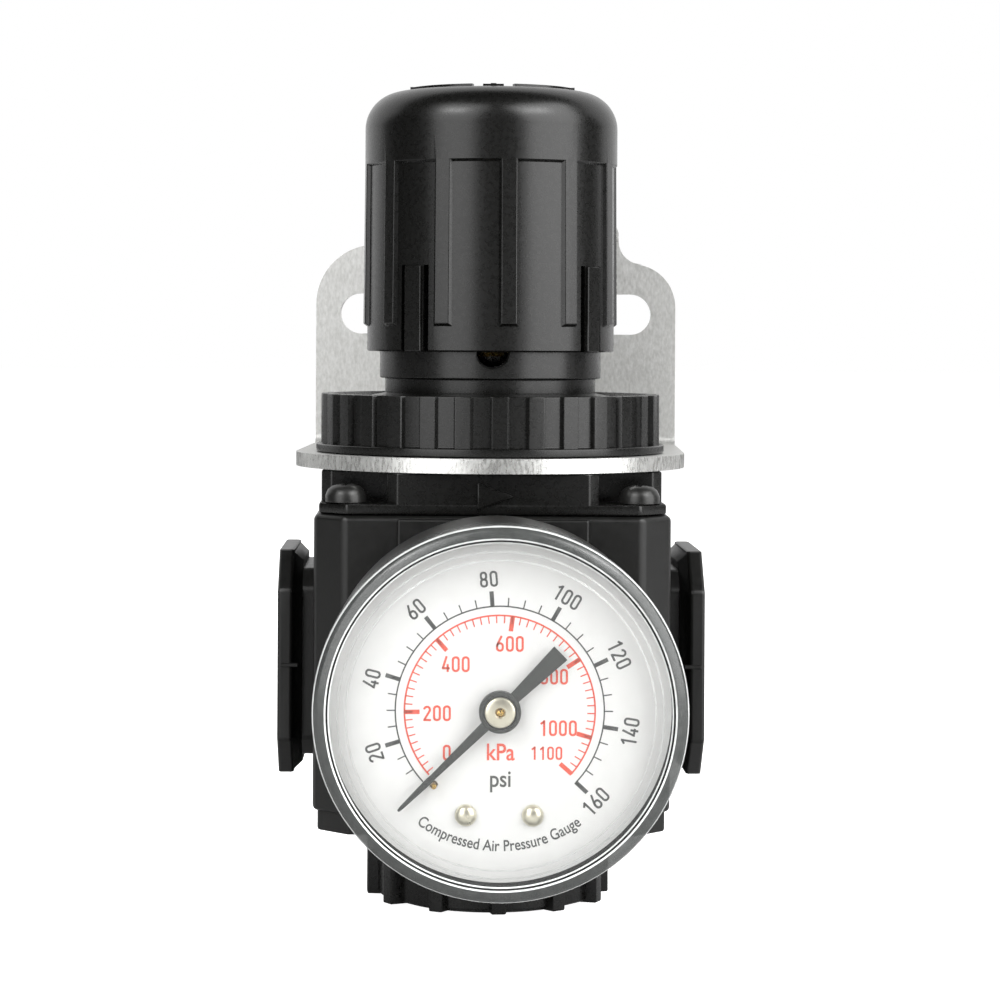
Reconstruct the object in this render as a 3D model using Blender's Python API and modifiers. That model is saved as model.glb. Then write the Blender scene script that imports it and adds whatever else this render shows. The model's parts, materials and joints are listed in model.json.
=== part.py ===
"""Air pressure regulator with a dial gauge and a mounting bracket, every piece its own object.

Metres, +Z up. The origin is the centre of the bottom cap's underside, on the main axis.
The gauge faces -Y, the inlet is at -X and the outlet at +X.
"""

import math

import bmesh
import bpy
from mathutils import Matrix, Vector

MM = 0.001
PLAY = 0.15 * MM          # between pieces that touch or slide
LAP = 0.4 * MM            # how far shapes that are joined run into each other
ROUND = 28                # sides of a large round piece
SMALL = 12                # sides of a small one

# The body: a die casting between the bottom cap and the bonnet
PORT_Z = 31.0 * MM
FACE_TO_FACE = 53.0 * MM
BODY_SIDE = 43.8 * MM
BODY_CHAMFER = 3.6 * MM
BODY_LOW = 13.7 * MM
BODY_TOP = 50.0 * MM
FOOT_SIDE = 42.6 * MM
FOOT_LOW = 11.2 * MM
FLANGE_SIDE = 28.0 * MM
FLANGE_RIM = 1.9 * MM
FLANGE_SLOPE = 1.1 * MM
NECK_SIDE = 23.4 * MM
PORT_R = 6.3 * MM
PORT_END = 14.0 * MM      # where each port's blind bore stops, from the axis
GAUGE_PORT_R = 4.85 * MM
GAUGE_PORT_END = 12.0 * MM
WEB_LOW = 29.5 * MM       # the wall between the inlet and the outlet chamber
WEB_TOP = 32.5 * MM
SEAT_R = 4.0 * MM
CHAMBER_R = 9.5 * MM
CAP_BORE_R = 12.1 * MM
CAP_BORE_TOP = 19.5 * MM
CONTROL_Z = 44.0 * MM     # floor of the chamber below the diaphragm
CONTROL_R = 15.5 * MM
RECESS_Z = 48.8 * MM
RECESS_R = 17.5 * MM

# The bottom cap
CAP_R = 14.2 * MM
CAP_RIB_R = 15.5 * MM
CAP_RIBS = 12
CAP_TOP = 11.0 * MM
CAP_NECK_R = 11.9 * MM
CAP_NECK_TOP = 19.0 * MM
CAP_FLOOR = 3.0 * MM
GUIDE_R = 3.4 * MM

# The bonnet, from its flange up to the ring that locks the knob
BONNET_SIDE = 42.6 * MM
BONNET_LOW = 50.1 * MM
BONNET_PLATE_TOP = 51.4 * MM
BONNET_BLOCK_TOP = 55.1 * MM
BONNET_ARM = 26.0 * MM
THREAD_R = 16.3 * MM
THREAD_TOP = 64.2 * MM
NECK_R = 13.5 * MM
STEP_Z = 66.8 * MM
COLLAR_R = 14.2 * MM
CATCH_LOW = 71.6 * MM     # the groove that the knob's snap fingers run in
CATCH_TOP = 76.3 * MM
CATCH_R = 13.6 * MM
COLLAR_TOP = 77.3 * MM
SPIGOT_R = 12.4 * MM
BONNET_TOP = 81.0 * MM
SPRING_ROOM_R = 11.6 * MM
SPRING_ROOM_TOP = 78.8 * MM
SCREW_HOLE_R = 4.25 * MM
VENT_Z = 70.0 * MM
SPLINES = 12
SPLINE_LOW = 78.0 * MM
SPLINE_TOP = 80.8 * MM
SPLINE_R = 13.2 * MM
SCREW_AT = 18.0 * MM      # the bonnet screws, from the axis in X and in Y

# The bracket and the nut that clamps it
BRACKET_THICK = 1.8 * MM
BRACKET_WIDE = 50.0 * MM
BRACKET_LOW = 55.2 * MM
BRACKET_BACK = 32.6 * MM
BRACKET_FRONT = -23.6 * MM
BRACKET_TOP = 84.6 * MM
BRACKET_TURN = -2.5  # degrees about the main axis, as it was clamped
TAB_TOP = 88.0 * MM
SLOT_Z = 75.0 * MM
SLOT_HIGH = 5.6 * MM
SLOT_IN = 6.2 * MM
SLOT_OUT = 21.6 * MM
NUT_LOW = 57.15 * MM
NUT_TOP = 64.5 * MM
NUT_R = 21.7 * MM
NUT_ROOT_R = 21.1 * MM
NUT_FLANGE_R = 22.3 * MM
NUT_RIBS = 30

# The knob
KNOB_LOW = 69.9 * MM
KNOB_TOP = 103.15 * MM
KNOB_MARK = 0.4 * MM
KNOB_R = 15.8 * MM
KNOB_BAND_R = 16.2 * MM
KNOB_BAND_LOW = 93.7 * MM
KNOB_SHOULDER = 4.8 * MM
KNOB_RIB_R = 16.4 * MM
KNOB_RIB_LOW = 73.3 * MM
KNOB_RIBS = 12
KNOB_TURN = math.radians(-90 + 6.9)
KNOB_BORE_R = 14.5 * MM
FINGER_TOP = 80.7 * MM
LOCK_STROKE = 3.0 * MM

# The adjusting screw, its nut and the range spring
SCREW_R = 4.0 * MM
SCREW_LOW = 62.0 * MM
SCREW_TOP = 93.0 * MM
HEX_FLATS = 7.0 * MM
SPRING_LOW = 52.3 * MM
SPRING_TOP = 71.0 * MM
SPRING_R = 8.0 * MM
SPRING_WIRE_R = 1.0 * MM

# The valve
STEM_R = 1.5 * MM
TAIL_R = 3.2 * MM
VALVE_HEAD_R = 6.0 * MM

# The gauge, measured forwards from the main axis along its own
DIAL_FRONT = 57.3 * MM
DIAL_R = 18.5 * MM
CASE_BACK = 34.5 * MM
CASE_R = 20.0 * MM
CASE_WALL = 1.7 * MM
LENS_BACK = 55.0 * MM
LENS_FRONT = 61.5 * MM
LENS_R = 20.4 * MM
SOCKET_R = 4.7 * MM
TUBE_R = 14.5 * MM
TUBE_MID = 40.1 * MM
POINTER_REST = math.radians(224.4)
SECTOR_AT = 9.0 * MM      # the sector's arbor, below the pointer's
PINION_TEETH = 8
SECTOR_TEETH = 64         # of the whole circle that the sector is cut from
GEAR_MODULE = 0.25 * MM
SECTOR_TURN = math.radians(33.4)
TAIL_REACH = 4.2 * MM

FINISHES = {
    "black_casting": ((0.012, 0.012, 0.011), 0.42, 0.0),
    "black_acetal": ((0.010, 0.010, 0.010), 0.36, 0.0),
    "clear_lens": ((0.85, 0.87, 0.87), 0.06, 0.0),
    "white_dial": ((0.80, 0.80, 0.79), 0.45, 0.0),
    "black_paint": ((0.09, 0.10, 0.09), 0.50, 0.0),
    "zinc_plate": ((0.50, 0.50, 0.49), 0.40, 0.9),
    "spring_steel": ((0.45, 0.45, 0.44), 0.30, 1.0),
    "plated_steel": ((0.55, 0.54, 0.52), 0.28, 1.0),
    "brass": ((0.70, 0.52, 0.22), 0.30, 1.0),
    "bronze": ((0.62, 0.38, 0.18), 0.34, 1.0),
    "nickel": ((0.72, 0.70, 0.62), 0.25, 1.0),
    "black_rubber": ((0.015, 0.015, 0.015), 0.75, 0.0),
}

AXIS_X = Matrix(((0, 0, 1, 0), (1, 0, 0, 0), (0, 1, 0, 0), (0, 0, 0, 1)))
GAUGE = Matrix.Translation((0, 0, PORT_Z)) @ Matrix.Rotation(math.radians(90), 4, "X")


# Tools

def clear_scene():
    for obj in list(bpy.data.objects):
        bpy.data.objects.remove(obj, do_unlink=True)
    for collection in list(bpy.data.collections):
        bpy.data.collections.remove(collection)


def new_collection(name):
    made = bpy.data.collections.new(name)
    bpy.context.scene.collection.children.link(made)
    return made


def object_of(name, mesh):
    """A shape, kept among the cutters until finish() makes it a piece."""
    obj = bpy.data.objects.new(name, mesh)
    obj.hide_render = True
    obj.display_type = "WIRE"
    CUTTERS.objects.link(obj)
    return obj


def baked(obj, place=None):
    """The object with its modifiers or its curve made a mesh, in the given place."""
    bpy.context.view_layer.update()
    graph = bpy.context.evaluated_depsgraph_get()
    mesh = bpy.data.meshes.new_from_object(obj.evaluated_get(graph))
    name = obj.name
    bpy.data.objects.remove(obj, do_unlink=True)
    shape = bmesh.new()
    shape.from_mesh(mesh)
    bmesh.ops.remove_doubles(shape, verts=shape.verts, dist=1e-7)
    if place:
        bmesh.ops.transform(shape, matrix=place, verts=shape.verts)
    shape.to_mesh(mesh)
    shape.free()
    mesh.shade_smooth()
    mesh.set_sharp_from_angle(angle=math.radians(35))
    made = object_of(name, mesh)
    made.name = name
    return made


def shape_of(name, shape, place=None):
    if place:
        bmesh.ops.transform(shape, matrix=place, verts=shape.verts)
    mesh = bpy.data.meshes.new(name)
    shape.to_mesh(mesh)
    shape.free()
    mesh.shade_smooth()
    mesh.set_sharp_from_angle(angle=math.radians(35))
    return object_of(name, mesh)


def block(name, low, high, place=None):
    """A box from its lowest corner to its highest."""
    low, high = Vector(low), Vector(high)
    shape = bmesh.new()
    bmesh.ops.create_cube(shape, size=1.0)
    bmesh.ops.scale(shape, vec=high - low, verts=shape.verts)
    bmesh.ops.translate(shape, vec=(low + high) / 2, verts=shape.verts)
    return shape_of(name, shape, place)


def rod(name, radius, start, end, place=None, sides=SMALL, end_radius=None):
    """A cylinder, or a cone, from one point to another."""
    start, end = Vector(start), Vector(end)
    line = end - start
    far = radius if end_radius is None else end_radius
    shape = bmesh.new()
    bmesh.ops.create_cone(shape, cap_ends=True, segments=sides, radius1=radius, radius2=far,
                          depth=line.length)
    turn = line.to_track_quat("Z", "Y").to_matrix().to_4x4()
    bmesh.ops.transform(shape, matrix=Matrix.Translation((start + end) / 2) @ turn, verts=shape.verts)
    return shape_of(name, shape, place)


def turned(name, profile, place=None, sides=ROUND):
    """A profile of (radius, height) points, down its outer side and up its inner one, turned about Z."""
    on_axis = profile[0][0] == 0 and profile[-1][0] == 0
    mesh = bpy.data.meshes.new(name)
    edges = [(i, i + 1) for i in range(len(profile) - 1)]
    if not on_axis:
        edges.append((len(profile) - 1, 0))
    mesh.from_pydata([(radius, 0, height) for radius, height in profile], edges, [])
    obj = object_of(name, mesh)
    screw = obj.modifiers.new("turn", "SCREW")
    screw.axis = "Z"
    screw.steps = screw.render_steps = sides
    screw.use_merge_vertices = True
    screw.merge_threshold = 1e-6
    return baked(obj, place)


def prism(name, outline, low, high, holes=(), place=None, taper=1.0):
    """A flat outline, with its holes, from one height to another; taper shrinks the high end."""
    curve = bpy.data.curves.new(name, "CURVE")
    curve.dimensions = "2D"
    curve.fill_mode = "BOTH"
    curve.extrude = (high - low) / 2
    for loop in (outline, *holes):
        spline = curve.splines.new("POLY")
        spline.points.add(len(loop) - 1)
        for point, (x, y) in zip(spline.points, loop):
            point.co = (x, y, 0, 1)
        spline.use_cyclic_u = True
    made = baked(object_of(name, curve), Matrix.Translation((0, 0, (low + high) / 2)))
    for vertex in made.data.vertices:
        if vertex.co.z > (low + high) / 2:
            vertex.co.x *= taper
            vertex.co.y *= taper
    if place:
        made.data.transform(place)
    return made


def wire(name, points, radius, place=None, resolution=2):
    """A round wire along its points."""
    curve = bpy.data.curves.new(name, "CURVE")
    curve.dimensions = "3D"
    curve.bevel_depth = radius
    curve.bevel_resolution = resolution
    curve.use_fill_caps = True
    spline = curve.splines.new("POLY")
    spline.points.add(len(points) - 1)
    for point, place_at in zip(spline.points, points):
        point.co = (*place_at, 1)
    return baked(object_of(name, curve), place)


def combine(piece, operation, others):
    for other in others:
        modifier = piece.modifiers.new(operation.lower(), "BOOLEAN")
        modifier.operation = operation
        modifier.object = other
    return piece


def join(piece, *others):
    return combine(piece, "UNION", others)


def cut(piece, *others):
    return combine(piece, "DIFFERENCE", others)


def trim(piece, *others):
    return combine(piece, "INTERSECT", others)


def finish(piece, name, look, axis=None):
    """Makes a shape one of the regulator's pieces; a moving one hangs from an empty on its joint's axis."""
    CUTTERS.objects.unlink(piece)
    PIECES.objects.link(piece)
    piece.name = name
    piece.hide_render = False
    piece.display_type = "TEXTURED"
    colour, roughness, metallic = FINISHES[look]
    made = bpy.data.materials.new(name + "_" + look)
    made.use_nodes = True
    shader = made.node_tree.nodes["Principled BSDF"]
    shader.inputs["Base Color"].default_value = (*colour, 1)
    shader.inputs["Roughness"].default_value = roughness
    shader.inputs["Metallic"].default_value = metallic
    piece.data.materials.clear()
    piece.data.materials.append(made)
    if axis:
        piece.parent = axis
        piece.matrix_parent_inverse = Matrix.Translation(axis.location).inverted()
    return piece


def joint_axis(name, at):
    empty = bpy.data.objects.new(name, None)
    empty.location = at
    empty.empty_display_size = 5 * MM
    PIECES.objects.link(empty)
    return empty


def chamfered(wide, high, chamfer):
    """A rectangle with its corners cut off."""
    x, y = wide / 2, high / 2
    return [(x, y - chamfer), (x - chamfer, y), (chamfer - x, y), (-x, y - chamfer),
            (-x, chamfer - y), (chamfer - x, -y), (x - chamfer, -y), (x, chamfer - y)]


def arc(centre, radius, start, end, steps):
    """Points on an arc between two angles in degrees."""
    angles = [math.radians(start + (end - start) * i / steps) for i in range(steps + 1)]
    return [(centre[0] + radius * math.cos(a), centre[1] + radius * math.sin(a)) for a in angles]


def circle(radius, sides=ROUND, centre=(0, 0)):
    return arc(centre, radius, 0, 360, sides)[:-1]


def toothed(teeth, root, tip, root_part, tip_part, start=0.0):
    """A wheel's outline. Each tooth fills its part of the pitch at the root and at the tip."""
    pitch = 2 * math.pi / teeth
    points = []
    for tooth in range(teeth):
        middle = start + tooth * pitch
        for radius, offset in ((root, -root_part), (tip, -tip_part), (tip, tip_part), (root, root_part)):
            angle = middle + offset * pitch / 2
            points.append((radius * math.cos(angle), radius * math.sin(angle)))
    return points


def coil(radius, wire_r, low, high, turns, per_turn):
    """Points along a compression spring whose end turns lie flat."""
    low, high = low + wire_r, high - wire_r
    flat = 2 * wire_r + PLAY
    middle = (high - low - 2 * flat) / (turns - 2)
    points = []
    for i in range(turns * per_turn + 1):
        turn = i / per_turn
        flat_turns = min(turn, 1) + max(turn - turns + 1, 0)
        height = flat * flat_turns + middle * min(max(turn - 1, 0), turns - 2)
        angle = 2 * math.pi * turn
        points.append((radius * math.cos(angle), radius * math.sin(angle), low + height))
    return points


def ring(name, radius, section_r, at, sides=20, place=None):
    """An O-ring about Z."""
    section = [(radius + x, at + z) for x, z in circle(section_r, 6)]
    return turned(name, section[::-1], place, sides)


# The body and its bottom end

def flange(side):
    """A port flange: a thick rim, a slope behind it and a square neck."""
    face = FACE_TO_FACE / 2
    rim_back = face - FLANGE_RIM
    slope_back = rim_back - FLANGE_SLOPE
    turn = Matrix.Rotation(0 if side > 0 else math.pi, 4, "Z")
    place = Matrix.Translation((0, 0, PORT_Z)) @ turn @ AXIS_X
    neck = chamfered(NECK_SIDE, NECK_SIDE, 2.4 * MM)
    rim = chamfered(FLANGE_SIDE, FLANGE_SIDE, 4.7 * MM)
    shrunk = 25.2 * MM / FLANGE_SIDE
    mirrored = Matrix.Rotation(math.pi, 4, "X")
    slope = prism("flange_slope", rim, -rim_back - LAP, -slope_back, taper=shrunk, place=place @ mirrored)
    return [prism("flange_neck", neck, BODY_SIDE / 2 - LAP, rim_back + LAP, place=place),
            slope,
            prism("flange_rim", rim, rim_back, face, place=place)]


def body():
    piece = prism("body", chamfered(BODY_SIDE, BODY_SIDE, BODY_CHAMFER), BODY_LOW, BODY_TOP)
    foot = prism("body_foot", chamfered(FOOT_SIDE, FOOT_SIDE, BODY_CHAMFER), FOOT_LOW, BODY_LOW + LAP)
    join(piece, foot, *flange(1), *flange(-1))
    lip = 0.5 * MM
    chambers = turned("body_chambers", [
        (0, BODY_TOP + 1 * MM), (RECESS_R, BODY_TOP + 1 * MM), (RECESS_R, RECESS_Z), (CONTROL_R, RECESS_Z),
        (CONTROL_R, CONTROL_Z), (CHAMBER_R, CONTROL_Z), (CHAMBER_R, WEB_TOP), (SEAT_R, WEB_TOP),
        (SEAT_R, WEB_LOW - lip), (SEAT_R + lip, WEB_LOW - lip), (SEAT_R + 2 * lip, WEB_LOW),
        (CHAMBER_R, WEB_LOW), (CHAMBER_R, CAP_BORE_TOP), (CAP_BORE_R, CAP_BORE_TOP),
        (CAP_BORE_R, FOOT_LOW - 1 * MM), (0, FOOT_LOW - 1 * MM)])
    half = 4.5 * MM
    reach = CHAMBER_R - 3 * MM
    low, high = PORT_Z - 5.6 * MM, PORT_Z + 5.6 * MM
    outer = FACE_TO_FACE / 2 + 1 * MM
    cut(piece, chambers,
        rod("inlet_bore", PORT_R, (-outer, 0, PORT_Z), (-PORT_END, 0, PORT_Z), sides=24),
        rod("outlet_bore", PORT_R, (outer, 0, PORT_Z), (PORT_END, 0, PORT_Z), sides=24),
        block("inlet_passage", (-PORT_END - 1 * MM, -half, low), (-reach, half, WEB_LOW - 0.6 * MM)),
        block("outlet_passage", (reach, -half, WEB_TOP + 0.6 * MM), (PORT_END + 1 * MM, half, high)))
    for side in (-1, 1):
        edge, end = side * (BODY_SIDE / 2 + 1 * MM), side * GAUGE_PORT_END
        sense = PORT_Z + 3.0 * MM
        cut(piece, rod("gauge_bore", GAUGE_PORT_R, (0, edge, PORT_Z), (0, end, PORT_Z), sides=24),
            rod("gauge_sense", 0.9 * MM, (0, end + side * MM, sense), (0, side * 7 * MM, sense), sides=12))
    for x, y in screw_places():
        cut(piece, rod("screw_thread", 1.6 * MM, (x, y, BODY_TOP + 1 * MM), (x, y, 39 * MM), sides=12))
    return finish(piece, "body", "black_casting")


def bottom_cap():
    slope, under_r, rib_low = 0.8 * MM, 11.8 * MM, 0.45 * MM
    groove_low, groove_top, groove_r = 12.6 * MM, 14.4 * MM, 10.6 * MM
    boss_r, boss_top = 4.4 * MM, 15.0 * MM
    well_r = 9.5 * MM
    piece = turned("bottom_cap", [
        (0, 5 * MM), (GUIDE_R, 5 * MM), (GUIDE_R, boss_top), (boss_r, boss_top), (boss_r, CAP_FLOOR),
        (well_r, CAP_FLOOR), (well_r, CAP_NECK_TOP), (CAP_NECK_R, CAP_NECK_TOP), (CAP_NECK_R, groove_top),
        (groove_r, groove_top), (groove_r, groove_low), (CAP_NECK_R, groove_low), (CAP_NECK_R, CAP_TOP),
        (CAP_R, CAP_TOP), (CAP_R, slope), (under_r, 0), (0, 0)])
    for rib in range(CAP_RIBS):
        turn = Matrix.Rotation(math.radians(-86 + 360 / CAP_RIBS * rib), 4, "Z")
        join(piece, block("cap_rib", (CAP_R - 1.5 * MM, -1.1 * MM, rib_low),
                          (CAP_RIB_R, 1.1 * MM, CAP_TOP - 0.6 * MM), turn))
    finish(piece, "bottom_cap", "black_acetal")
    finish(ring("seal", 11.33 * MM, 0.62 * MM, 13.5 * MM), "bottom_cap_seal", "black_rubber")


def port_plug():
    head_r, head_thick = 7.0 * MM, 1.4 * MM
    back = BODY_SIDE / 2 + PLAY
    groove = 15.5 * MM
    place = Matrix.Translation((0, 0, PORT_Z)) @ Matrix.Rotation(math.radians(-90), 4, "X")
    piece = turned("plug", [
        (0, back + head_thick), (head_r - 0.4 * MM, back + head_thick),
        (head_r, back + head_thick - 0.4 * MM),
        (head_r, back), (SOCKET_R, back), (SOCKET_R, groove + 1.6 * MM), (3.5 * MM, groove + 1.6 * MM),
        (3.5 * MM, groove), (SOCKET_R, groove), (SOCKET_R, 13 * MM), (0, 13 * MM)], place, sides=20)
    hexagon = circle(2.9 * MM, 6)
    cut(piece, prism("plug_hex", hexagon, back - 2.5 * MM, back + 3 * MM, place=place))
    finish(piece, "rear_port_plug", "black_acetal")
    finish(ring("plug_ring", 4.15 * MM, 0.5 * MM, groove + 0.8 * MM, 24, place), "rear_plug_seal",
           "black_rubber")


# The valve and the diaphragm

def valve():
    axis = joint_axis("valve_axis", (0, 0, 24.5 * MM))
    tip_z, head_top, head_low, tail_low = 47.2 * MM, 26.8 * MM, 24.6 * MM, 12.2 * MM
    groove = 13.2 * MM
    stem = turned("stem", [
        (0, tip_z), (0.5 * MM, tip_z), (STEM_R, tip_z - 1 * MM), (STEM_R, head_top), (VALVE_HEAD_R, head_top),
        (VALVE_HEAD_R, head_low), (TAIL_R, head_low), (TAIL_R, groove + 1.2 * MM),
        (2.5 * MM, groove + 1.2 * MM),
        (2.5 * MM, groove), (TAIL_R, groove), (TAIL_R, tail_low), (0, tail_low)], sides=16)
    finish(stem, "valve_stem", "brass", axis)
    disc_top = WEB_LOW - 0.6 * MM
    disc = prism("disc", circle(VALVE_HEAD_R - 0.2 * MM, 16), head_top + 0.1 * MM, disc_top,
                 holes=[circle(STEM_R + 0.15 * MM, 16)])
    finish(disc, "valve_disc", "black_rubber", axis)
    finish(ring("tail_ring", 2.95 * MM, 0.38 * MM, groove + 0.6 * MM, 20), "valve_stem_seal", "black_rubber",
           axis)
    spring = wire("spring", coil(5.2 * MM, 0.45 * MM, CAP_FLOOR + PLAY, head_low - PLAY, 7, 10), 0.45 * MM,
                  resolution=0)
    finish(spring, "valve_spring", "spring_steel")


def diaphragm():
    rubber_low, rubber_top = RECESS_Z + PLAY, BODY_TOP - 0.05 * MM
    hub_r = 2.8 * MM
    sheet = prism("sheet", circle(RECESS_R - PLAY), rubber_low, rubber_top, holes=[circle(hub_r + PLAY, 16)])
    finish(sheet, "diaphragm", "black_rubber")
    axis = joint_axis("diaphragm_axis", (0, 0, rubber_low))
    low = rubber_top + PLAY
    bore_r = hub_r + PLAY
    upper = turned("upper", [
        (bore_r, SPRING_LOW + 1.6 * MM), (6.6 * MM, SPRING_LOW + 1.6 * MM), (6.8 * MM, SPRING_LOW - PLAY),
        (12.5 * MM, SPRING_LOW - PLAY), (12.5 * MM, low), (bore_r, low)], sides=20)
    finish(upper, "diaphragm_upper_plate", "plated_steel", axis)
    relief_r, seat_z = 1.2 * MM, 47.35 * MM
    top = rubber_low - PLAY
    lower = turned("lower", [
        (relief_r, SPRING_LOW), (hub_r, SPRING_LOW), (hub_r, top), (11 * MM, top), (11 * MM, top - 1 * MM),
        (2.4 * MM, seat_z), (relief_r, seat_z)], sides=20)
    finish(lower, "diaphragm_lower_plate", "brass", axis)


# The bonnet and what is in it

def screw_places():
    return [(x * SCREW_AT, y * SCREW_AT) for y in (-1, 1) for x in (-1, 1)]


def bonnet():
    half, arm = BONNET_SIDE / 2 - 0.1 * MM, BONNET_ARM / 2
    plate = prism("bonnet", chamfered(BONNET_SIDE, BONNET_SIDE, 3.4 * MM), BONNET_LOW, BONNET_PLATE_TOP)
    arm_low = BONNET_PLATE_TOP - 0.7 * MM
    tower = turned("bonnet_tower", [
        (0, BONNET_TOP), (SPIGOT_R, BONNET_TOP), (SPIGOT_R, COLLAR_TOP), (COLLAR_R, COLLAR_TOP),
        (COLLAR_R, CATCH_TOP), (CATCH_R, CATCH_TOP), (CATCH_R, CATCH_LOW), (COLLAR_R, CATCH_LOW),
        (COLLAR_R, STEP_Z), (NECK_R, STEP_Z), (NECK_R, THREAD_TOP), (THREAD_R, THREAD_TOP),
        (THREAD_R, BONNET_PLATE_TOP - LAP), (0, BONNET_PLATE_TOP - LAP)])
    splines = toothed(SPLINES, SPIGOT_R - LAP, SPLINE_R, 0.52, 0.34)
    arrow = [(-1.8 * MM, 50.8 * MM), (2.5 * MM, 52.4 * MM), (-1.8 * MM, 54.0 * MM)]
    front = Matrix.Rotation(math.radians(90), 4, "X")
    join(plate, block("bonnet_arm", (-half, -arm, arm_low), (half, arm, BONNET_BLOCK_TOP)),
         block("bonnet_arm", (-arm, -half, arm_low), (arm, half, BONNET_BLOCK_TOP)), tower,
         prism("bonnet_splines", splines, SPLINE_LOW, SPLINE_TOP),
         prism("flow_arrow", arrow, half - LAP, half + 0.35 * MM, place=front))
    room = turned("bonnet_room", [
        (0, BONNET_TOP + 1 * MM), (SCREW_HOLE_R, BONNET_TOP + 1 * MM), (SCREW_HOLE_R, SPRING_ROOM_TOP),
        (SPRING_ROOM_R, SPRING_ROOM_TOP), (SPRING_ROOM_R, 56.6 * MM), (14.8 * MM, 53.4 * MM),
        (14.8 * MM, BONNET_LOW - 1 * MM), (0, BONNET_LOW - 1 * MM)])
    vent = rod("vent", 2.0 * MM, (0, -COLLAR_R - 1 * MM, VENT_Z), (0, -10 * MM, VENT_Z), sides=16)
    cut(plate, room, vent)
    for x, y in screw_places():
        cut(plate, rod("screw_way", 1.7 * MM, (x, y, BONNET_LOW - 1 * MM), (x, y, 53 * MM), sides=12))
    key_in = 9.7 * MM
    for side in (-1, 1):
        key = sorted((side * key_in, side * (SPRING_ROOM_R + LAP)))
        join(plate, block("bonnet_key", (key[0], -1.4 * MM, 60 * MM),
                          (key[1], 1.4 * MM, SPRING_ROOM_TOP - 2.4 * MM)))
    finish(plate, "bonnet", "black_acetal")
    for number, (x, y) in enumerate(screw_places(), 1):
        bonnet_screw(number, x, y)


def bonnet_screw(number, x, y):
    under, head_r, head_high, shank_r = 51.5 * MM, 2.5 * MM, 2.2 * MM, 1.4 * MM
    place = Matrix.Translation((x, y, 0))
    screw = turned("screw", [
        (0, under + head_high), (head_r - 0.8 * MM, under + head_high), (head_r - 0.2 * MM, under + 1.6 * MM),
        (head_r, under + 1 * MM), (head_r, under), (shank_r, under), (shank_r, 40.5 * MM), (0, 40 * MM)],
        place, sides=12)
    slot, arm = 0.35 * MM, 1.3 * MM
    top, deep = under + head_high + 1 * MM, under + 0.9 * MM
    for degrees in (35, 125):
        turn = place @ Matrix.Rotation(math.radians(degrees), 4, "Z")
        cut(screw, block("recess", (-arm, -slot, deep), (arm, slot, top), turn))
    finish(screw, f"bonnet_screw_{number}", "plated_steel")


def adjusting_screw():
    axis = joint_axis("knob_axis", (0, 0, BONNET_TOP))
    flange_low, flange_top, flange_r = 76.2 * MM, 78.1 * MM, 6.5 * MM
    shank_r, clip_low, clip_r = 3.9 * MM, BONNET_TOP + 0.2 * MM, 3.1 * MM
    clip_high = clip_low + 1.0 * MM
    hex_low = clip_high + 0.5 * MM
    piece = turned("screw", [
        (0, hex_low + LAP), (3.3 * MM, hex_low + LAP), (3.3 * MM, clip_high), (clip_r, clip_high),
        (clip_r, clip_low), (shank_r, clip_low), (shank_r, flange_top), (flange_r, flange_top),
        (flange_r, flange_low), (SCREW_R, flange_low), (SCREW_R, SCREW_LOW + 0.8 * MM),
        (SCREW_R - 0.8 * MM, SCREW_LOW), (0, SCREW_LOW)], sides=16)
    hexagon = circle(HEX_FLATS / math.sqrt(3), 6)
    join(piece, prism("screw_hex", hexagon, hex_low, SCREW_TOP))
    finish(piece, "adjusting_screw", "plated_steel", axis)
    washer = prism("washer", circle(7.5 * MM, 20), flange_top + PLAY, SPRING_ROOM_TOP - PLAY,
                   holes=[circle(4.3 * MM, 20)])
    finish(washer, "thrust_washer", "brass")
    clip = prism("clip", arc((0, 0), 5.4 * MM, 25, 335, 24) + arc((0, 0), clip_r + 0.15 * MM, 320, 40, 24),
                 clip_low + 0.2 * MM, clip_high - 0.15 * MM)
    finish(clip, "screw_retaining_clip", "spring_steel", axis)


def spring_nut():
    axis = joint_axis("nut_axis", (0, 0, SPRING_TOP))
    low, high, outer, bore = SPRING_TOP + PLAY, SPRING_TOP + 4.5 * MM, 11.3 * MM, 4.15 * MM
    nut = turned("nut", [(bore, high), (outer, high), (outer, low), (6.8 * MM, low),
                         (6.5 * MM, low - 1.4 * MM),
                         (bore, low - 1.4 * MM)], sides=24)
    for side in (-1, 1):
        way = sorted((side * 9.45 * MM, side * 13 * MM))
        cut(nut, block("nut_way", (way[0], -1.65 * MM, low - 3 * MM), (way[1], 1.65 * MM, high + 1 * MM)))
    finish(nut, "spring_nut", "brass", axis)
    spring = wire("spring", coil(SPRING_R, SPRING_WIRE_R, SPRING_LOW + PLAY, SPRING_TOP - PLAY, 5, 12),
                  SPRING_WIRE_R, resolution=1)
    finish(spring, "range_spring", "spring_steel")


# The knob

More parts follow.
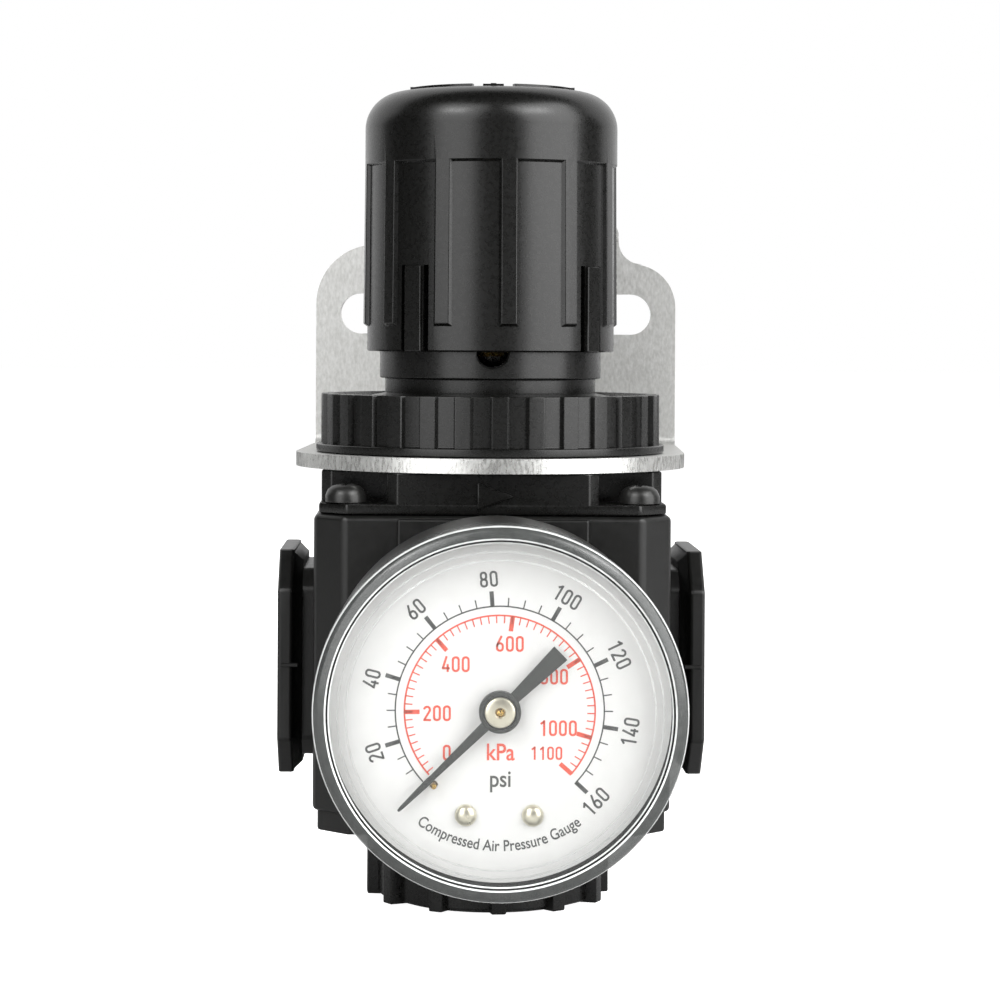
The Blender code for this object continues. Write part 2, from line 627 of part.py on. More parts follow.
def knob():
    axis = joint_axis("knob_slide_axis", (0, 0, KNOB_LOW))
    wall_top = KNOB_TOP - 2.6 * MM
    gap_low = SPLINE_TOP + 0.5 * MM
    gap_high = gap_low + 3 * MM
    dome = arc((KNOB_BAND_R - KNOB_SHOULDER, KNOB_TOP - KNOB_SHOULDER), KNOB_SHOULDER, 90, 0, 6)
    inner = 13.7 * MM
    piece = turned("knob",
                   [(0, KNOB_TOP), *dome, (KNOB_BAND_R, KNOB_BAND_LOW), (KNOB_R, KNOB_BAND_LOW - 0.4 * MM),
                            (KNOB_R, KNOB_LOW), (KNOB_BORE_R, KNOB_LOW), (KNOB_BORE_R, gap_low),
                            (12.0 * MM, gap_low), (12.0 * MM, gap_high), (inner, gap_high),
                            (inner, wall_top - 3 * MM),
                            (inner - 3 * MM, wall_top), (0, wall_top)])
    for rib in range(KNOB_RIBS):
        turn = Matrix.Rotation(KNOB_TURN + math.tau / KNOB_RIBS * rib, 4, "Z")
        outline = [(KNOB_R - LAP, -1.6 * MM), (KNOB_RIB_R, -1.2 * MM), (KNOB_RIB_R, 1.2 * MM),
                   (KNOB_R - LAP, 1.6 * MM)]
        join(piece, prism("knob_rib", outline, KNOB_RIB_LOW, KNOB_BAND_LOW + LAP, place=turn))
    socket_low = BONNET_TOP + 4.6 * MM
    flats = HEX_FLATS + 0.5 * MM
    join(piece, prism("knob_socket", circle(6.5 * MM, 24), socket_low, wall_top + LAP))
    cut(piece, prism("knob_hex", circle(flats / math.sqrt(3), 6), socket_low - 1 * MM,
                     SCREW_TOP + LOCK_STROKE + 0.4 * MM),
        prism("knob_splines", toothed(SPLINES, SPIGOT_R + 0.25 * MM, SPLINE_R + 0.3 * MM, 0.72, 0.54),
              gap_low - 1 * MM, gap_high + 1 * MM))
    for finger in range(4):
        turn = Matrix.Rotation(math.radians(-90 - 38.1 + 90 * finger), 4, "Z")
        for side in (-1, 1):
            middle = side * 1.75 * MM
            cut(piece, block("finger_slot", (KNOB_BORE_R - 1 * MM, middle - 0.4 * MM, KNOB_LOW - 1 * MM),
                             (KNOB_RIB_R + 1 * MM, middle + 0.4 * MM, FINGER_TOP), turn))
        outline = [(KNOB_BORE_R - 0.65 * MM, 75.9 * MM), (KNOB_BORE_R + LAP, 75.9 * MM),
                   (KNOB_BORE_R + LAP, 74.2 * MM)]
        wedge = turn @ Matrix.Rotation(math.radians(90), 4, "X")
        join(piece, prism("finger_hook", outline, -1.0 * MM, 1.0 * MM, place=wedge))
    for mark in range(8):
        turn = Matrix.Rotation(math.tau / 8 * mark, 4, "Z")
        join(piece, block("knob_mark", (8.6 * MM, -2.2 * MM, KNOB_TOP - LAP),
                          (10.6 * MM, 2.2 * MM, KNOB_TOP + KNOB_MARK), turn))
    finish(piece, "knob", "black_acetal", axis)


# The bracket and its nut

def bracket():
    bend = 3.0 * MM
    back, front = BRACKET_BACK, BRACKET_BACK - BRACKET_THICK
    high = BRACKET_LOW + BRACKET_THICK
    section = [(BRACKET_FRONT - 2 * MM, BRACKET_LOW),
               *arc((back - bend, BRACKET_LOW + bend), bend, -90, 0, 6),
               (back, TAB_TOP + 2 * MM), (front, TAB_TOP + 2 * MM),
               *arc((back - bend, BRACKET_LOW + bend), bend - BRACKET_THICK, 0, -90, 4),
               (BRACKET_FRONT - 2 * MM, high)]
    half = BRACKET_WIDE / 2
    turn = Matrix.Rotation(math.radians(BRACKET_TURN), 4, "Z")
    piece = prism("bracket", section, -half - 1 * MM, half + 1 * MM, place=turn @ AXIS_X)
    above = [*arc((0, BRACKET_FRONT + half), half, 180, 360, 24), (half, back + 2 * MM),
             (-half, back + 2 * MM)]
    corner, step = 8.3 * MM, 82.0 * MM
    fillet, tab = 3.2 * MM, 17.1 * MM
    shoulder = 6.0 * MM
    behind = [(-half, BRACKET_LOW - 2 * MM), (half, BRACKET_LOW - 2 * MM),
              *arc((half - shoulder, step - shoulder), shoulder, 0, 90, 6),
              *arc((tab + fillet, step + fillet), fillet, 270, 180, 5),
              *arc((tab - 2 * MM, TAB_TOP - 2 * MM), 2 * MM, 0, 90, 4),
              *arc((-12 * MM, TAB_TOP - 2 * MM), 2 * MM, 90, 180, 4),
              (-14 * MM, BRACKET_TOP),
              *arc((corner - half, BRACKET_TOP - corner), corner, 90, 180, 8)]
    front_view = turn @ Matrix.Rotation(math.radians(90), 4, "X")
    trim(piece, prism("bracket_above", above, BRACKET_LOW - 1 * MM, TAB_TOP + 1 * MM, place=turn),
         prism("bracket_behind", behind, -back - 1 * MM, -BRACKET_FRONT + 1 * MM, place=front_view))
    cut(piece, prism("bracket_hole", circle(THREAD_R + 0.4 * MM, 32), BRACKET_LOW - 1 * MM, high + 1 * MM))
    end = SLOT_HIGH / 2
    for side in (-1, 1):
        near, far = side * (SLOT_IN + end), side * (SLOT_OUT - end)
        left, right = sorted((near, far))
        slot = [*arc((left, SLOT_Z), end, 270, 90, 10), *arc((right, SLOT_Z), end, 90, -90, 10)]
        cut(piece, prism("bracket_slot", slot[::-1], -back - 1 * MM, -front + 1 * MM, place=front_view))
    finish(piece, "bracket", "zinc_plate")


def panel_nut():
    bore = circle(THREAD_R + 0.2 * MM, ROUND)
    rim = NUT_LOW + 1.0 * MM
    piece = prism("nut", toothed(NUT_RIBS, NUT_ROOT_R, NUT_R, 0.56, 0.48), rim - LAP, NUT_TOP, holes=[bore])
    join(piece, prism("nut_flange", circle(NUT_FLANGE_R, 40), NUT_LOW, rim,
                      holes=[circle(THREAD_R + 0.8 * MM, ROUND)]))
    finish(piece, "panel_nut", "black_acetal")


# The gauge. Its pieces are drawn facing up, Z being forwards from the main axis, and turned by GAUGE.

def rod_g(name, radius, at, low, high, sides=16, end_radius=None):
    return rod(name, radius, (*at, low), (*at, high), GAUGE, sides, end_radius)


def gauge_shell():
    lens_in = LENS_R - 1.1 * MM
    spigot, spigot_in = lens_in - PLAY, DIAL_R - 0.6 * MM
    ledge = DIAL_FRONT - 0.4 * MM - PLAY
    case_in = CASE_R - CASE_WALL
    case = turned("case", [
        (spigot_in, ledge), (spigot, ledge), (spigot, LENS_BACK - PLAY), (CASE_R, LENS_BACK - PLAY),
        (CASE_R, CASE_BACK + 1.5 * MM), (CASE_R - 1.5 * MM, CASE_BACK), (SOCKET_R + 0.6 * MM, CASE_BACK),
        (SOCKET_R + 0.6 * MM, CASE_BACK + CASE_WALL), (case_in, CASE_BACK + CASE_WALL),
        (case_in, ledge - 2 * MM)],
        GAUGE)
    finish(case, "gauge_case", "black_acetal")
    lens = turned("lens", [
        (0, LENS_FRONT), (LENS_R - 1.6 * MM, LENS_FRONT), (LENS_R - 0.4 * MM, LENS_FRONT - 0.6 * MM),
        (LENS_R, LENS_FRONT - 1.4 * MM), (LENS_R, LENS_BACK), (lens_in, LENS_BACK),
        (lens_in, LENS_FRONT - 1.5 * MM), (0, LENS_FRONT - 1.5 * MM)], GAUGE)
    finish(lens, "gauge_lens", "clear_lens")


def gauge_dial():
    back = DIAL_FRONT - 0.4 * MM
    holes = [circle(0.9 * MM, 12, at) for at in dial_screw_places()]
    dial = prism("dial", circle(DIAL_R + 0.3 * MM, 32), back, DIAL_FRONT,
                 holes=[circle(1.1 * MM, 16), circle(0.45 * MM, 10, stop_place()), *holes], place=GAUGE)
    finish(dial, "dial_plate", "white_dial")
    for name, at in zip(("dial_screw_left", "dial_screw_right"), dial_screw_places()):
        place = GAUGE @ Matrix.Translation((*at, 0))
        head = DIAL_FRONT + 0.1 * MM
        screw = turned("screw",
                       [(0, head + 0.75 * MM), (0.7 * MM, head + 0.6 * MM), (1.15 * MM, head + 0.2 * MM),
                                 (1.2 * MM, head), (0.7 * MM, head), (0.7 * MM, 52.6 * MM), (0, 52.6 * MM)],
                                 place, 12)
        finish(screw, name, "nickel")
    finish(rod_g("pin", 0.32 * MM, stop_place(), back - 0.6 * MM, DIAL_FRONT + 1.6 * MM, 10), "zero_stop_pin",
           "brass")


def dial_screw_places():
    return [(-3.65 * MM, -11.4 * MM), (3.65 * MM, -11.4 * MM)]


def stop_place():
    """The pin that the pointer rests against, just short of zero."""
    reach, behind = 10.8 * MM, 0.75 * MM
    angle = POINTER_REST + math.asin(behind / reach)
    return (reach * math.cos(angle), reach * math.sin(angle))


def pointer():
    axis = joint_axis("pointer_axis", (0, -DIAL_FRONT, PORT_Z))
    turn = GAUGE @ Matrix.Rotation(POINTER_REST, 4, "Z")
    low, high = DIAL_FRONT + 1.0 * MM, DIAL_FRONT + 1.3 * MM
    outline = [(-9.2 * MM, -1.02 * MM), (-2 * MM, -0.58 * MM), (2 * MM, -0.56 * MM), (15.5 * MM, -0.15 * MM),
               (15.5 * MM, 0.15 * MM), (2 * MM, 0.56 * MM), (-2 * MM, 0.58 * MM), (-9.2 * MM, 1.02 * MM)]
    needle = prism("needle", outline, low, high, place=turn)
    hub = turned("needle_hub",
                 [(1.85 * MM, high + 0.5 * MM), (2.2 * MM, high + 0.5 * MM), (2.3 * MM, high + 0.3 * MM),
                                (2.3 * MM, low - 0.3 * MM), (0.4 * MM, low - 0.3 * MM),
                                (0.4 * MM, high + 0.05 * MM),
                                (1.85 * MM, high + 0.05 * MM)], GAUGE, 16)
    bore = rod_g("needle_bore", 0.75 * MM, (0, 0), low - 1 * MM, high + 1 * MM)
    finish(cut(join(needle, hub), bore), "pointer", "black_paint", axis)
    boss = turned("boss",
                  [(0.5 * MM, high + 0.75 * MM), (1.45 * MM, high + 0.75 * MM), (1.7 * MM, high + 0.5 * MM),
                           (1.7 * MM, high + 0.1 * MM), (0.5 * MM, high + 0.1 * MM)], GAUGE, 16)
    finish(boss, "pointer_boss", "nickel", axis)
    pinion_low = 46.3 * MM
    root = (PINION_TEETH / 2 - 1.15) * GEAR_MODULE
    tip = (PINION_TEETH / 2 + 0.8) * GEAR_MODULE
    start = math.radians(-90) + math.pi / PINION_TEETH
    pinion = prism("pinion", toothed(PINION_TEETH, root, tip, 0.62, 0.2, start), pinion_low, 48.2 * MM,
                   place=GAUGE)
    arbor = turned("arbor",
                   [(0, high + 0.85 * MM), (0.35 * MM, high + 0.75 * MM), (0.35 * MM, high), (0.6 * MM, high),
                             (0.6 * MM, 44.1 * MM), (0, 44.1 * MM)], GAUGE, 12)
    finish(join(pinion, arbor), "pinion_arbor", "brass", axis)


def sector():
    """The toothed sector, drawn at zero pressure: its middle leans away from the side it turns to."""
    centre = (0, -SECTOR_AT)
    axis = joint_axis("sector_axis", (0, -47 * MM, PORT_Z - SECTOR_AT))
    place = GAUGE @ Matrix.Translation((*centre, 0))
    pitch_r = SECTOR_TEETH * GEAR_MODULE / 2
    step = math.tau / SECTOR_TEETH
    root, tip = pitch_r - 1.15 * GEAR_MODULE, pitch_r + 0.8 * GEAR_MODULE
    outline = []
    for tooth in range(-7, 2):
        middle = math.pi / 2 + tooth * step
        for radius, offset in ((root, 0.31), (tip, 0.1), (tip, -0.1), (root, -0.31)):
            angle = middle - offset * step
            outline.append((radius * math.cos(angle), radius * math.sin(angle)))
    hub, tail = 1.5 * MM, math.radians(270) - SECTOR_TURN / 2
    outline.append((-hub, 1.2 * MM))
    end = (TAIL_REACH * math.cos(tail), TAIL_REACH * math.sin(tail))
    outline += arc(end, 0.8 * MM, 165, 325, 8)
    outline.append((hub, 0.4 * MM))
    layer = (46.9 * MM, 47.7 * MM)
    piece = prism("sector", outline, *layer, place=place)
    pivot = rod("sector_bore", 0.65 * MM, (0, 0, layer[0] - 1 * MM), (0, 0, layer[1] + 1 * MM), place, 12)
    eye = rod("tail_bore", 0.45 * MM, (*end, layer[0] - 1 * MM), (*end, layer[1] + 1 * MM), place, 12)
    finish(cut(piece, pivot, eye), "sector_gear", "brass", axis)
    finish(rod("arbor", 0.55 * MM, (0, 0, 44.1 * MM), (0, 0, 55.6 * MM), place, 12), "sector_arbor", "nickel",
           axis)
    tail_pin = rod("pin", 0.35 * MM, (*end, 45.3 * MM), (*end, 48.0 * MM), place, 12)
    finish(tail_pin, "link_pin", "nickel", axis)
    start = (end[0], end[1] - SECTOR_AT)
    link(start, tube_tip())


def tube_tip():
    angle = math.radians(-30)
    return (TUBE_R * math.cos(angle), TUBE_R * math.sin(angle))


def link(start, end):
    """The link from the sector's tail to the tube's tip; its far eye stays clear of the tip's pin."""
    at = GAUGE @ Vector((*start, 46 * MM))
    axis = joint_axis("link_axis", at)
    angle = math.atan2(end[1] - start[1], end[0] - start[0])
    length = math.hypot(end[0] - start[0], end[1] - start[1])
    place = GAUGE @ Matrix.Translation((*start, 0)) @ Matrix.Rotation(angle, 4, "Z")
    wide = 0.8 * MM
    outline = [*arc((0, 0), wide, 90, 270, 8), *arc((length, 0), wide, -90, 90, 8)]
    piece = prism("link", outline, 45.8 * MM, 46.4 * MM,
                  holes=[circle(0.45 * MM, 12), circle(0.4 * MM, 12, (length, 0))], place=place)
    finish(piece, "tip_link", "nickel", axis)


def bourdon():
    """The flattened tube, bent to a C from the socket round to its tip."""
    root, tip = 251.0, -27.0
    half_thick, half_wide = 0.6 * MM, 2.5 * MM
    outline = arc((0, 0), TUBE_R + half_thick, tip, root, 30) + arc((0, 0), TUBE_R - half_thick, root, tip,
                                                                    30)
    tube = prism("tube", outline, TUBE_MID - half_wide, TUBE_MID + half_wide, place=GAUGE)
    finish(tube, "bourdon_tube", "bronze")
    at = tube_tip()
    angle = math.radians(-30.3)
    place = GAUGE @ Matrix.Rotation(angle, 4, "Z")
    end = block("tip", (TUBE_R - 1.1 * MM, -0.8 * MM, TUBE_MID - half_wide),
                (TUBE_R + 1.1 * MM, 0.5 * MM, TUBE_MID + half_wide), place)
    join(end, rod_g("tip_pin", 0.6 * MM, at, TUBE_MID, 45.5 * MM, 12))
    finish(end, "bourdon_tip", "brass")


def socket():
    block_back, block_front = CASE_BACK + CASE_WALL + PLAY, 43.6 * MM
    screw_end = 13 * MM
    side = BODY_SIDE / 2 + 0.4 * MM
    hex_end = 30.5 * MM
    piece = turned("socket", [
        (0, block_back + LAP), (SOCKET_R + 0.3 * MM, block_back + LAP), (SOCKET_R + 0.3 * MM, hex_end),
        (4.3 * MM, hex_end),
        (4.3 * MM, side), (SOCKET_R, side), (SOCKET_R, screw_end), (0, screw_end)], GAUGE, 20)
    hexagon = circle(11 * MM / math.sqrt(3), 6)
    join(piece, prism("socket_hex", hexagon, side + 0.8 * MM, hex_end + 0.5 * MM, place=GAUGE),
         block("socket_block", (-4 * MM, -16 * MM, block_back), (4 * MM, 6 * MM, block_front), GAUGE))
    cut(piece, rod_g("socket_bore", 1.5 * MM, (0, 0), screw_end - 1 * MM, 40 * MM, 12))
    for at in movement_screw_places():
        cut(piece, rod_g("movement_thread", 0.75 * MM, at, 40 * MM, block_front + 1 * MM, 10))
    finish(piece, "gauge_socket", "brass")


def movement_screw_places():
    return [(-2.4 * MM, -5.2 * MM), (2.4 * MM, 3.0 * MM)]


def movement():
    """Two plates held apart by pillars, which carry the arbors, and the hairspring."""
    back = (43.75 * MM, 44.55 * MM)
    front = (53.0 * MM, 53.8 * MM)
    pillars = {"movement_pillar_left": (-7.6 * MM, -7.0 * MM), "movement_pillar_right": (6.6 * MM, 3.6 * MM)}
    arbors = [circle(0.75 * MM, 12), circle(0.7 * MM, 12, (0, -SECTOR_AT))]
    feet = [circle(0.75 * MM, 10, at) for at in pillars.values()]
    screws = [circle(0.9 * MM, 10, at) for at in movement_screw_places()]
    lower = -11.0 * MM
    outline = [(-9.2 * MM, lower), (4 * MM, lower), (8.2 * MM, -2 * MM), (8.2 * MM, 5.6 * MM),
               (-4 * MM, 5.6 * MM), (-9.2 * MM, -4 * MM)]
    plate = prism("plate", outline, *back, holes=arbors + feet + screws, place=GAUGE)
    finish(plate, "movement_back_plate", "brass")
    low = -13.2 * MM
    outline = [(-9.2 * MM, -9 * MM), (-5.4 * MM, low), (5.4 * MM, low), (8.2 * MM, -2 * MM),
               (8.2 * MM, 5.6 * MM), (-4 * MM, 5.6 * MM), (-9.2 * MM, -4 * MM)]
    holes = [circle(0.85 * MM, 10, at) for at in dial_screw_places()]
    plate = prism("plate", outline, *front, holes=arbors + feet + holes, place=GAUGE)
    finish(plate, "movement_front_plate", "brass")
    for name, at in pillars.items():
        place = GAUGE @ Matrix.Translation((*at, 0))
        post = turned("post", [(0, front[1] + 0.3 * MM), (0.6 * MM, front[1] + 0.3 * MM),
                               (0.6 * MM, front[0] - PLAY), (1.3 * MM, front[0] - PLAY),
                               (1.3 * MM, back[1] + PLAY), (0.6 * MM, back[1] + PLAY),
                               (0.6 * MM, back[0] + 0.1 * MM), (0, back[0] + 0.1 * MM)], place, 12)
        finish(post, name, "brass")
    for number, at in enumerate(movement_screw_places(), 1):
        place = GAUGE @ Matrix.Translation((*at, 0))
        head = back[1] + 0.1 * MM
        screw = turned("screw",
                       [(0, head + 0.8 * MM), (1.1 * MM, head + 0.7 * MM), (1.3 * MM, head), (0.6 * MM, head),
                                 (0.6 * MM, 41 * MM), (0, 41 * MM)], place, 12)
        finish(screw, f"movement_screw_{number}", "nickel")
    turns, per_turn, inner, pitch = 3, 14, 1.0 * MM, 0.7 * MM
    points = []
    for i in range(turns * per_turn + 1):
        radius, angle = inner + pitch * i / per_turn, math.tau * i / per_turn
        points.append((radius * math.cos(angle), radius * math.sin(angle), 50 * MM))
    finish(wire("spiral", points, 0.14 * MM, GAUGE, 0), "hairspring", "bronze")


def main():
    body()
    bottom_cap()
    port_plug()
    valve()
    diaphragm()
    bonnet()
    adjusting_screw()
    spring_nut()
    knob()
    bracket()
    panel_nut()
    socket()
    gauge_shell()
    gauge_dial()
    pointer()
    sector()
    bourdon()
    movement()


clear_scene()
PIECES = new_collection("air_pressure_regulator")
CUTTERS = new_collection("cutters")
CUTTERS.hide_render = True
main()
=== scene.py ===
"""Modular air pressure regulator: the finished shells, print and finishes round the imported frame."""

import json
import math

import bmesh
import bpy
from bpy.props import FloatProperty, IntProperty, PointerProperty, StringProperty
from mathutils import Matrix, Vector


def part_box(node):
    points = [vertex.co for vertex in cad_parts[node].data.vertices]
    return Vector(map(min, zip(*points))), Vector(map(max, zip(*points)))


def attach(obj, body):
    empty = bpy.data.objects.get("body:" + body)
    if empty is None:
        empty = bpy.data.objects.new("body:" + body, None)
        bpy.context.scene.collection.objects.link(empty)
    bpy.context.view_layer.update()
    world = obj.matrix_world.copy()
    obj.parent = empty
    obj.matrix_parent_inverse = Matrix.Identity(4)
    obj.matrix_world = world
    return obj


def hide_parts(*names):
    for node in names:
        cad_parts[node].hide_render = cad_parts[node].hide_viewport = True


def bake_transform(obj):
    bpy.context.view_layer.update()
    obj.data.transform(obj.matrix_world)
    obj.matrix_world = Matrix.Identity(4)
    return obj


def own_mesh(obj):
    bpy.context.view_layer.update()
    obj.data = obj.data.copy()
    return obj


bl_info = {
    "name": "Air Regulator Pieces",
    "version": (1, 0, 0),
    "blender": (4, 5, 0),
    "location": "View3D > Sidebar > Regulator",
    "description": "Builds the pieces, the dial print and the stage of a modular air pressure regulator",
    "category": "Add Mesh",
}

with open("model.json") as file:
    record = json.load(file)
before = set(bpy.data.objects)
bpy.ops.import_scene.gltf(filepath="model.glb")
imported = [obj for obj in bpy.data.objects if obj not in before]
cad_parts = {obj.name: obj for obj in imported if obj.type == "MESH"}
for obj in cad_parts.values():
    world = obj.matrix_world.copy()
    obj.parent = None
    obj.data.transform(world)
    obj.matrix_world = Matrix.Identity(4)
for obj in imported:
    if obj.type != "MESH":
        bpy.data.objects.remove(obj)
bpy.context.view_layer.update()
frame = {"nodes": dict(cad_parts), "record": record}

MM = 0.001
TAU = math.tau
BODY_LOW, BODY_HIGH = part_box("body")
BONNET_LOW, BONNET_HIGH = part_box("bonnet")
CAP_LOW, CAP_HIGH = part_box("bottom_cap")
NUT_LOW, NUT_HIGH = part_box("panel_nut")
KNOB_LOW, KNOB_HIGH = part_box("knob")
BRACKET_LOW, BRACKET_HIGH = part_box("bracket")
CASE_LOW, CASE_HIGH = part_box("gauge_case")
LENS_LOW, LENS_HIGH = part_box("gauge_lens")
DIAL_LOW, DIAL_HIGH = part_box("dial_plate")
PLUG_LOW, PLUG_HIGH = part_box("rear_port_plug")
FRONT_VIEW = Matrix.Rotation(math.radians(90), 4, "X")
PORT_Z = (DIAL_LOW.z + DIAL_HIGH.z) / 2
GAUGE = Matrix.Translation((0, 0, PORT_Z)) @ FRONT_VIEW
ALONG_X = Matrix(((0, 0, 1, 0), (1, 0, 0, 0), (0, 1, 0, 0), (0, 0, 0, 1)))
DIAL_FACE = -DIAL_LOW.y
POINTER_REST = math.radians(224.4)
SCREW_OUT = 18 * MM
PIPE_PITCH = 1.337 * MM
KNOB_SLOTS = math.radians(-90 - 38.1)
BRACKET_TURN = math.radians(-2.5)


# Sizes and colours that a user would change

class RegulatorSizes(bpy.types.PropertyGroup):
    """Sizes of the pieces that can change without touching the frame."""

    edge: FloatProperty(name="Moulded edge", description="Radius on the moulded pieces' edges",
                        default=0.2 * MM, unit="LENGTH")
    cast_edge: FloatProperty(name="Cast edge", description="Radius on the casting's outer edges",
                             default=0.7 * MM, unit="LENGTH")
    knob_ribs: IntProperty(name="Knob ribs", description="Grip ribs round the knob", default=12, min=4)
    nut_ribs: IntProperty(name="Nut ribs", description="Grip ribs round the panel nut", default=30, min=6)
    cap_ribs: IntProperty(name="Cap ribs", description="Grip ribs round the bottom cap", default=12, min=4)
    numeral: FloatProperty(name="Numeral height", description="Height of the outer scale's numerals",
                           default=1.74 * MM, unit="LENGTH")


class RegulatorColours(bpy.types.PropertyGroup):
    """Colours as sRGB hex values."""

    casting: StringProperty(name="Casting", description="Powder coat on the body", default="#0D0D0C")
    moulding: StringProperty(name="Moulding", description="Black acetal of the knob, nut and bonnet",
                             default="#0C0C0B")
    dial: StringProperty(name="Dial", description="Enamel of the dial", default="#EDEDEB")
    black_ink: StringProperty(name="Black ink", description="Outer scale", default="#4C4D4C")
    red_ink: StringProperty(name="Red ink", description="Inner scale", default="#E4553E")
    zinc: StringProperty(name="Zinc plate", description="The bracket", default="#D2D2D0")


# Materials

def linear(code):
    """An sRGB hex colour as linear RGBA."""
    channels = [int(code[i:i + 2], 16) / 255 for i in (1, 3, 5)]
    return (*[c / 12.92 if c <= 0.04045 else ((c + 0.055) / 1.055) ** 2.4 for c in channels], 1.0)


def add_node(tree, kind, settings=None, inputs=None):
    """A node with its settings, and each input set to a value or linked from a socket."""
    made = tree.nodes.new(kind)
    for key, value in (settings or {}).items():
        setattr(made, key, value)
    for key, value in (inputs or {}).items():
        if isinstance(value, bpy.types.NodeSocket):
            tree.links.new(value, made.inputs[key])
        else:
            made.inputs[key].default_value = value
    return made


def surface(name, colours, roughness, grain, bump=0.0, stretch=(1, 1, 1), detail=4.0, **shader):
    """A finish whose colour and roughness wander between two values over grains of a real size."""
    if name in bpy.data.materials:
        return bpy.data.materials[name]
    made = bpy.data.materials.new(name)
    made.use_nodes = True
    tree = made.node_tree
    principled = tree.nodes["Principled BSDF"]
    where = add_node(tree, "ShaderNodeTexCoord")
    mapping = add_node(tree, "ShaderNodeMapping",
                       inputs={"Vector": where.outputs["Object"], "Scale": stretch})
    noise = add_node(tree, "ShaderNodeTexNoise", inputs={
        "Vector": mapping.outputs["Vector"], "Scale": 1 / grain, "Detail": detail, "Roughness": 0.6})
    ramp = add_node(tree, "ShaderNodeValToRGB", inputs={"Fac": noise.outputs["Fac"]})
    for element, place, colour in zip(ramp.color_ramp.elements, (0.3, 0.7), colours):
        element.position = place
        element.color = linear(colour)
    tree.links.new(ramp.outputs["Color"], principled.inputs["Base Color"])
    gloss = add_node(tree, "ShaderNodeMapRange", inputs={
        "Value": noise.outputs["Fac"], "From Min": 0.3, "From Max": 0.7, "To Min": roughness[0],
        "To Max": roughness[1]})
    tree.links.new(gloss.outputs["Result"], principled.inputs["Roughness"])
    if bump:
        fine = add_node(tree, "ShaderNodeTexNoise", inputs={
            "Vector": mapping.outputs["Vector"], "Scale": 2.5 / grain, "Detail": 3.0})
        relief = add_node(tree, "ShaderNodeBump", inputs={
            "Height": fine.outputs["Fac"], "Strength": 0.5, "Distance": bump})
        tree.links.new(relief.outputs["Normal"], principled.inputs["Normal"])
    for key, value in shader.items():
        principled.inputs[key.replace("_", " ")].default_value = value
    return made


def powder_coat():
    # Powder-coated die casting: a soft satin black with a faint orange peel
    colour = bpy.context.scene.regulator_colours.casting
    return surface("powder_coated_aluminium", ("#090908", colour), (0.34, 0.42), 0.9 * MM, 0.02 * MM,
                   IOR=1.41)


def acetal():
    # Injection-moulded acetal: near black, satin, with fine spark-erosion grain from the mould
    colour = bpy.context.scene.regulator_colours.moulding
    return surface("moulded_acetal", ("#080807", colour), (0.25, 0.31), 0.6 * MM, 0.008 * MM, IOR=1.42)


def case_abs():
    # ABS case: moulded, a little glossier and greyer than acetal
    return surface("moulded_abs", ("#0E0E0D", "#141413"), (0.28, 0.34), 0.8 * MM, 0.006 * MM, IOR=1.53)


def zinc_plate():
    # Bright zinc on rolled sheet: mottled grey, with faint streaks along the rolling direction
    colour = bpy.context.scene.regulator_colours.zinc
    return surface("zinc_plated_sheet", ("#B6B6B3", colour), (0.40, 0.52), 0.35 * MM, 0.006 * MM,
                   stretch=(1, 1, 0.45), detail=6.0, Metallic=0.7)


def sheared_zinc():
    # The sheared edge of the same sheet: brighter, with short bite marks across it
    return surface("sheared_zinc_edge", ("#ABABA8", "#DCDCDA"), (0.22, 0.36), 0.35 * MM, 0.03 * MM,
                   stretch=(1, 1, 0.3), Metallic=0.85)


def dial_enamel():
    # White enamel on aluminium: even, with a faint texture
    colour = bpy.context.scene.regulator_colours.dial
    return surface("white_enamel", ("#E8E8E6", colour), (0.42, 0.50), 1.5 * MM)


def ink(name, colour):
    # Pad-printed ink: dense, a little uneven at its edges
    return surface(name, (colour, colour), (0.45, 0.60), 0.2 * MM)


def pointer_enamel():
    # Stoved enamel on thin sheet: dark grey and nearly matt, so the needle reads against the dial
    return surface("pointer_enamel", ("#2E302E", "#373937"), (0.42, 0.50), 0.8 * MM, 0.004 * MM, IOR=1.3)


def nickel():
    # Nickel plate on brass: warm, bright, softly reflecting
    return surface("nickel_plate", ("#D6D1BB", "#E0DBC7"), (0.27, 0.31), 0.8 * MM, Metallic=0.85)


def brass():
    # Turned brass: yellow, with the fine lines that a lathe leaves
    return surface("turned_brass", ("#B08D45", "#CDA95A"), (0.24, 0.34), 0.4 * MM, 0.004 * MM, Metallic=1.0)


def bronze():
    # Phosphor bronze strip: redder and smoother than brass
    return surface("phosphor_bronze", ("#A06A3C", "#BD8450"), (0.26, 0.36), 0.5 * MM, Metallic=1.0)


def spring_steel():
    # Drawn spring wire: mid grey, smooth, with long soft highlights
    return surface("drawn_spring_steel", ("#83837F", "#A3A39F"), (0.22, 0.34), 0.4 * MM, Metallic=1.0)


def plated_steel():
    # Zinc-plated turned steel: pale and slightly warm, brighter than the sheet
    return surface("zinc_plated_steel", ("#A5A39C", "#C6C4BC"), (0.24, 0.34), 0.5 * MM, Metallic=1.0)


def black_fastener():
    # Black-passivated screws: dark metal that still mirrors the lights
    return surface("black_zinc_screw", ("#1E1E1D", "#262625"), (0.30, 0.36), 0.8 * MM, Metallic=0.4)


def rubber():
    # Nitrile rubber: dark, dull, with a fine moulded skin
    return surface("nitrile_rubber", ("#161616", "#1F1F1E"), (0.60, 0.78), 0.5 * MM, 0.01 * MM)


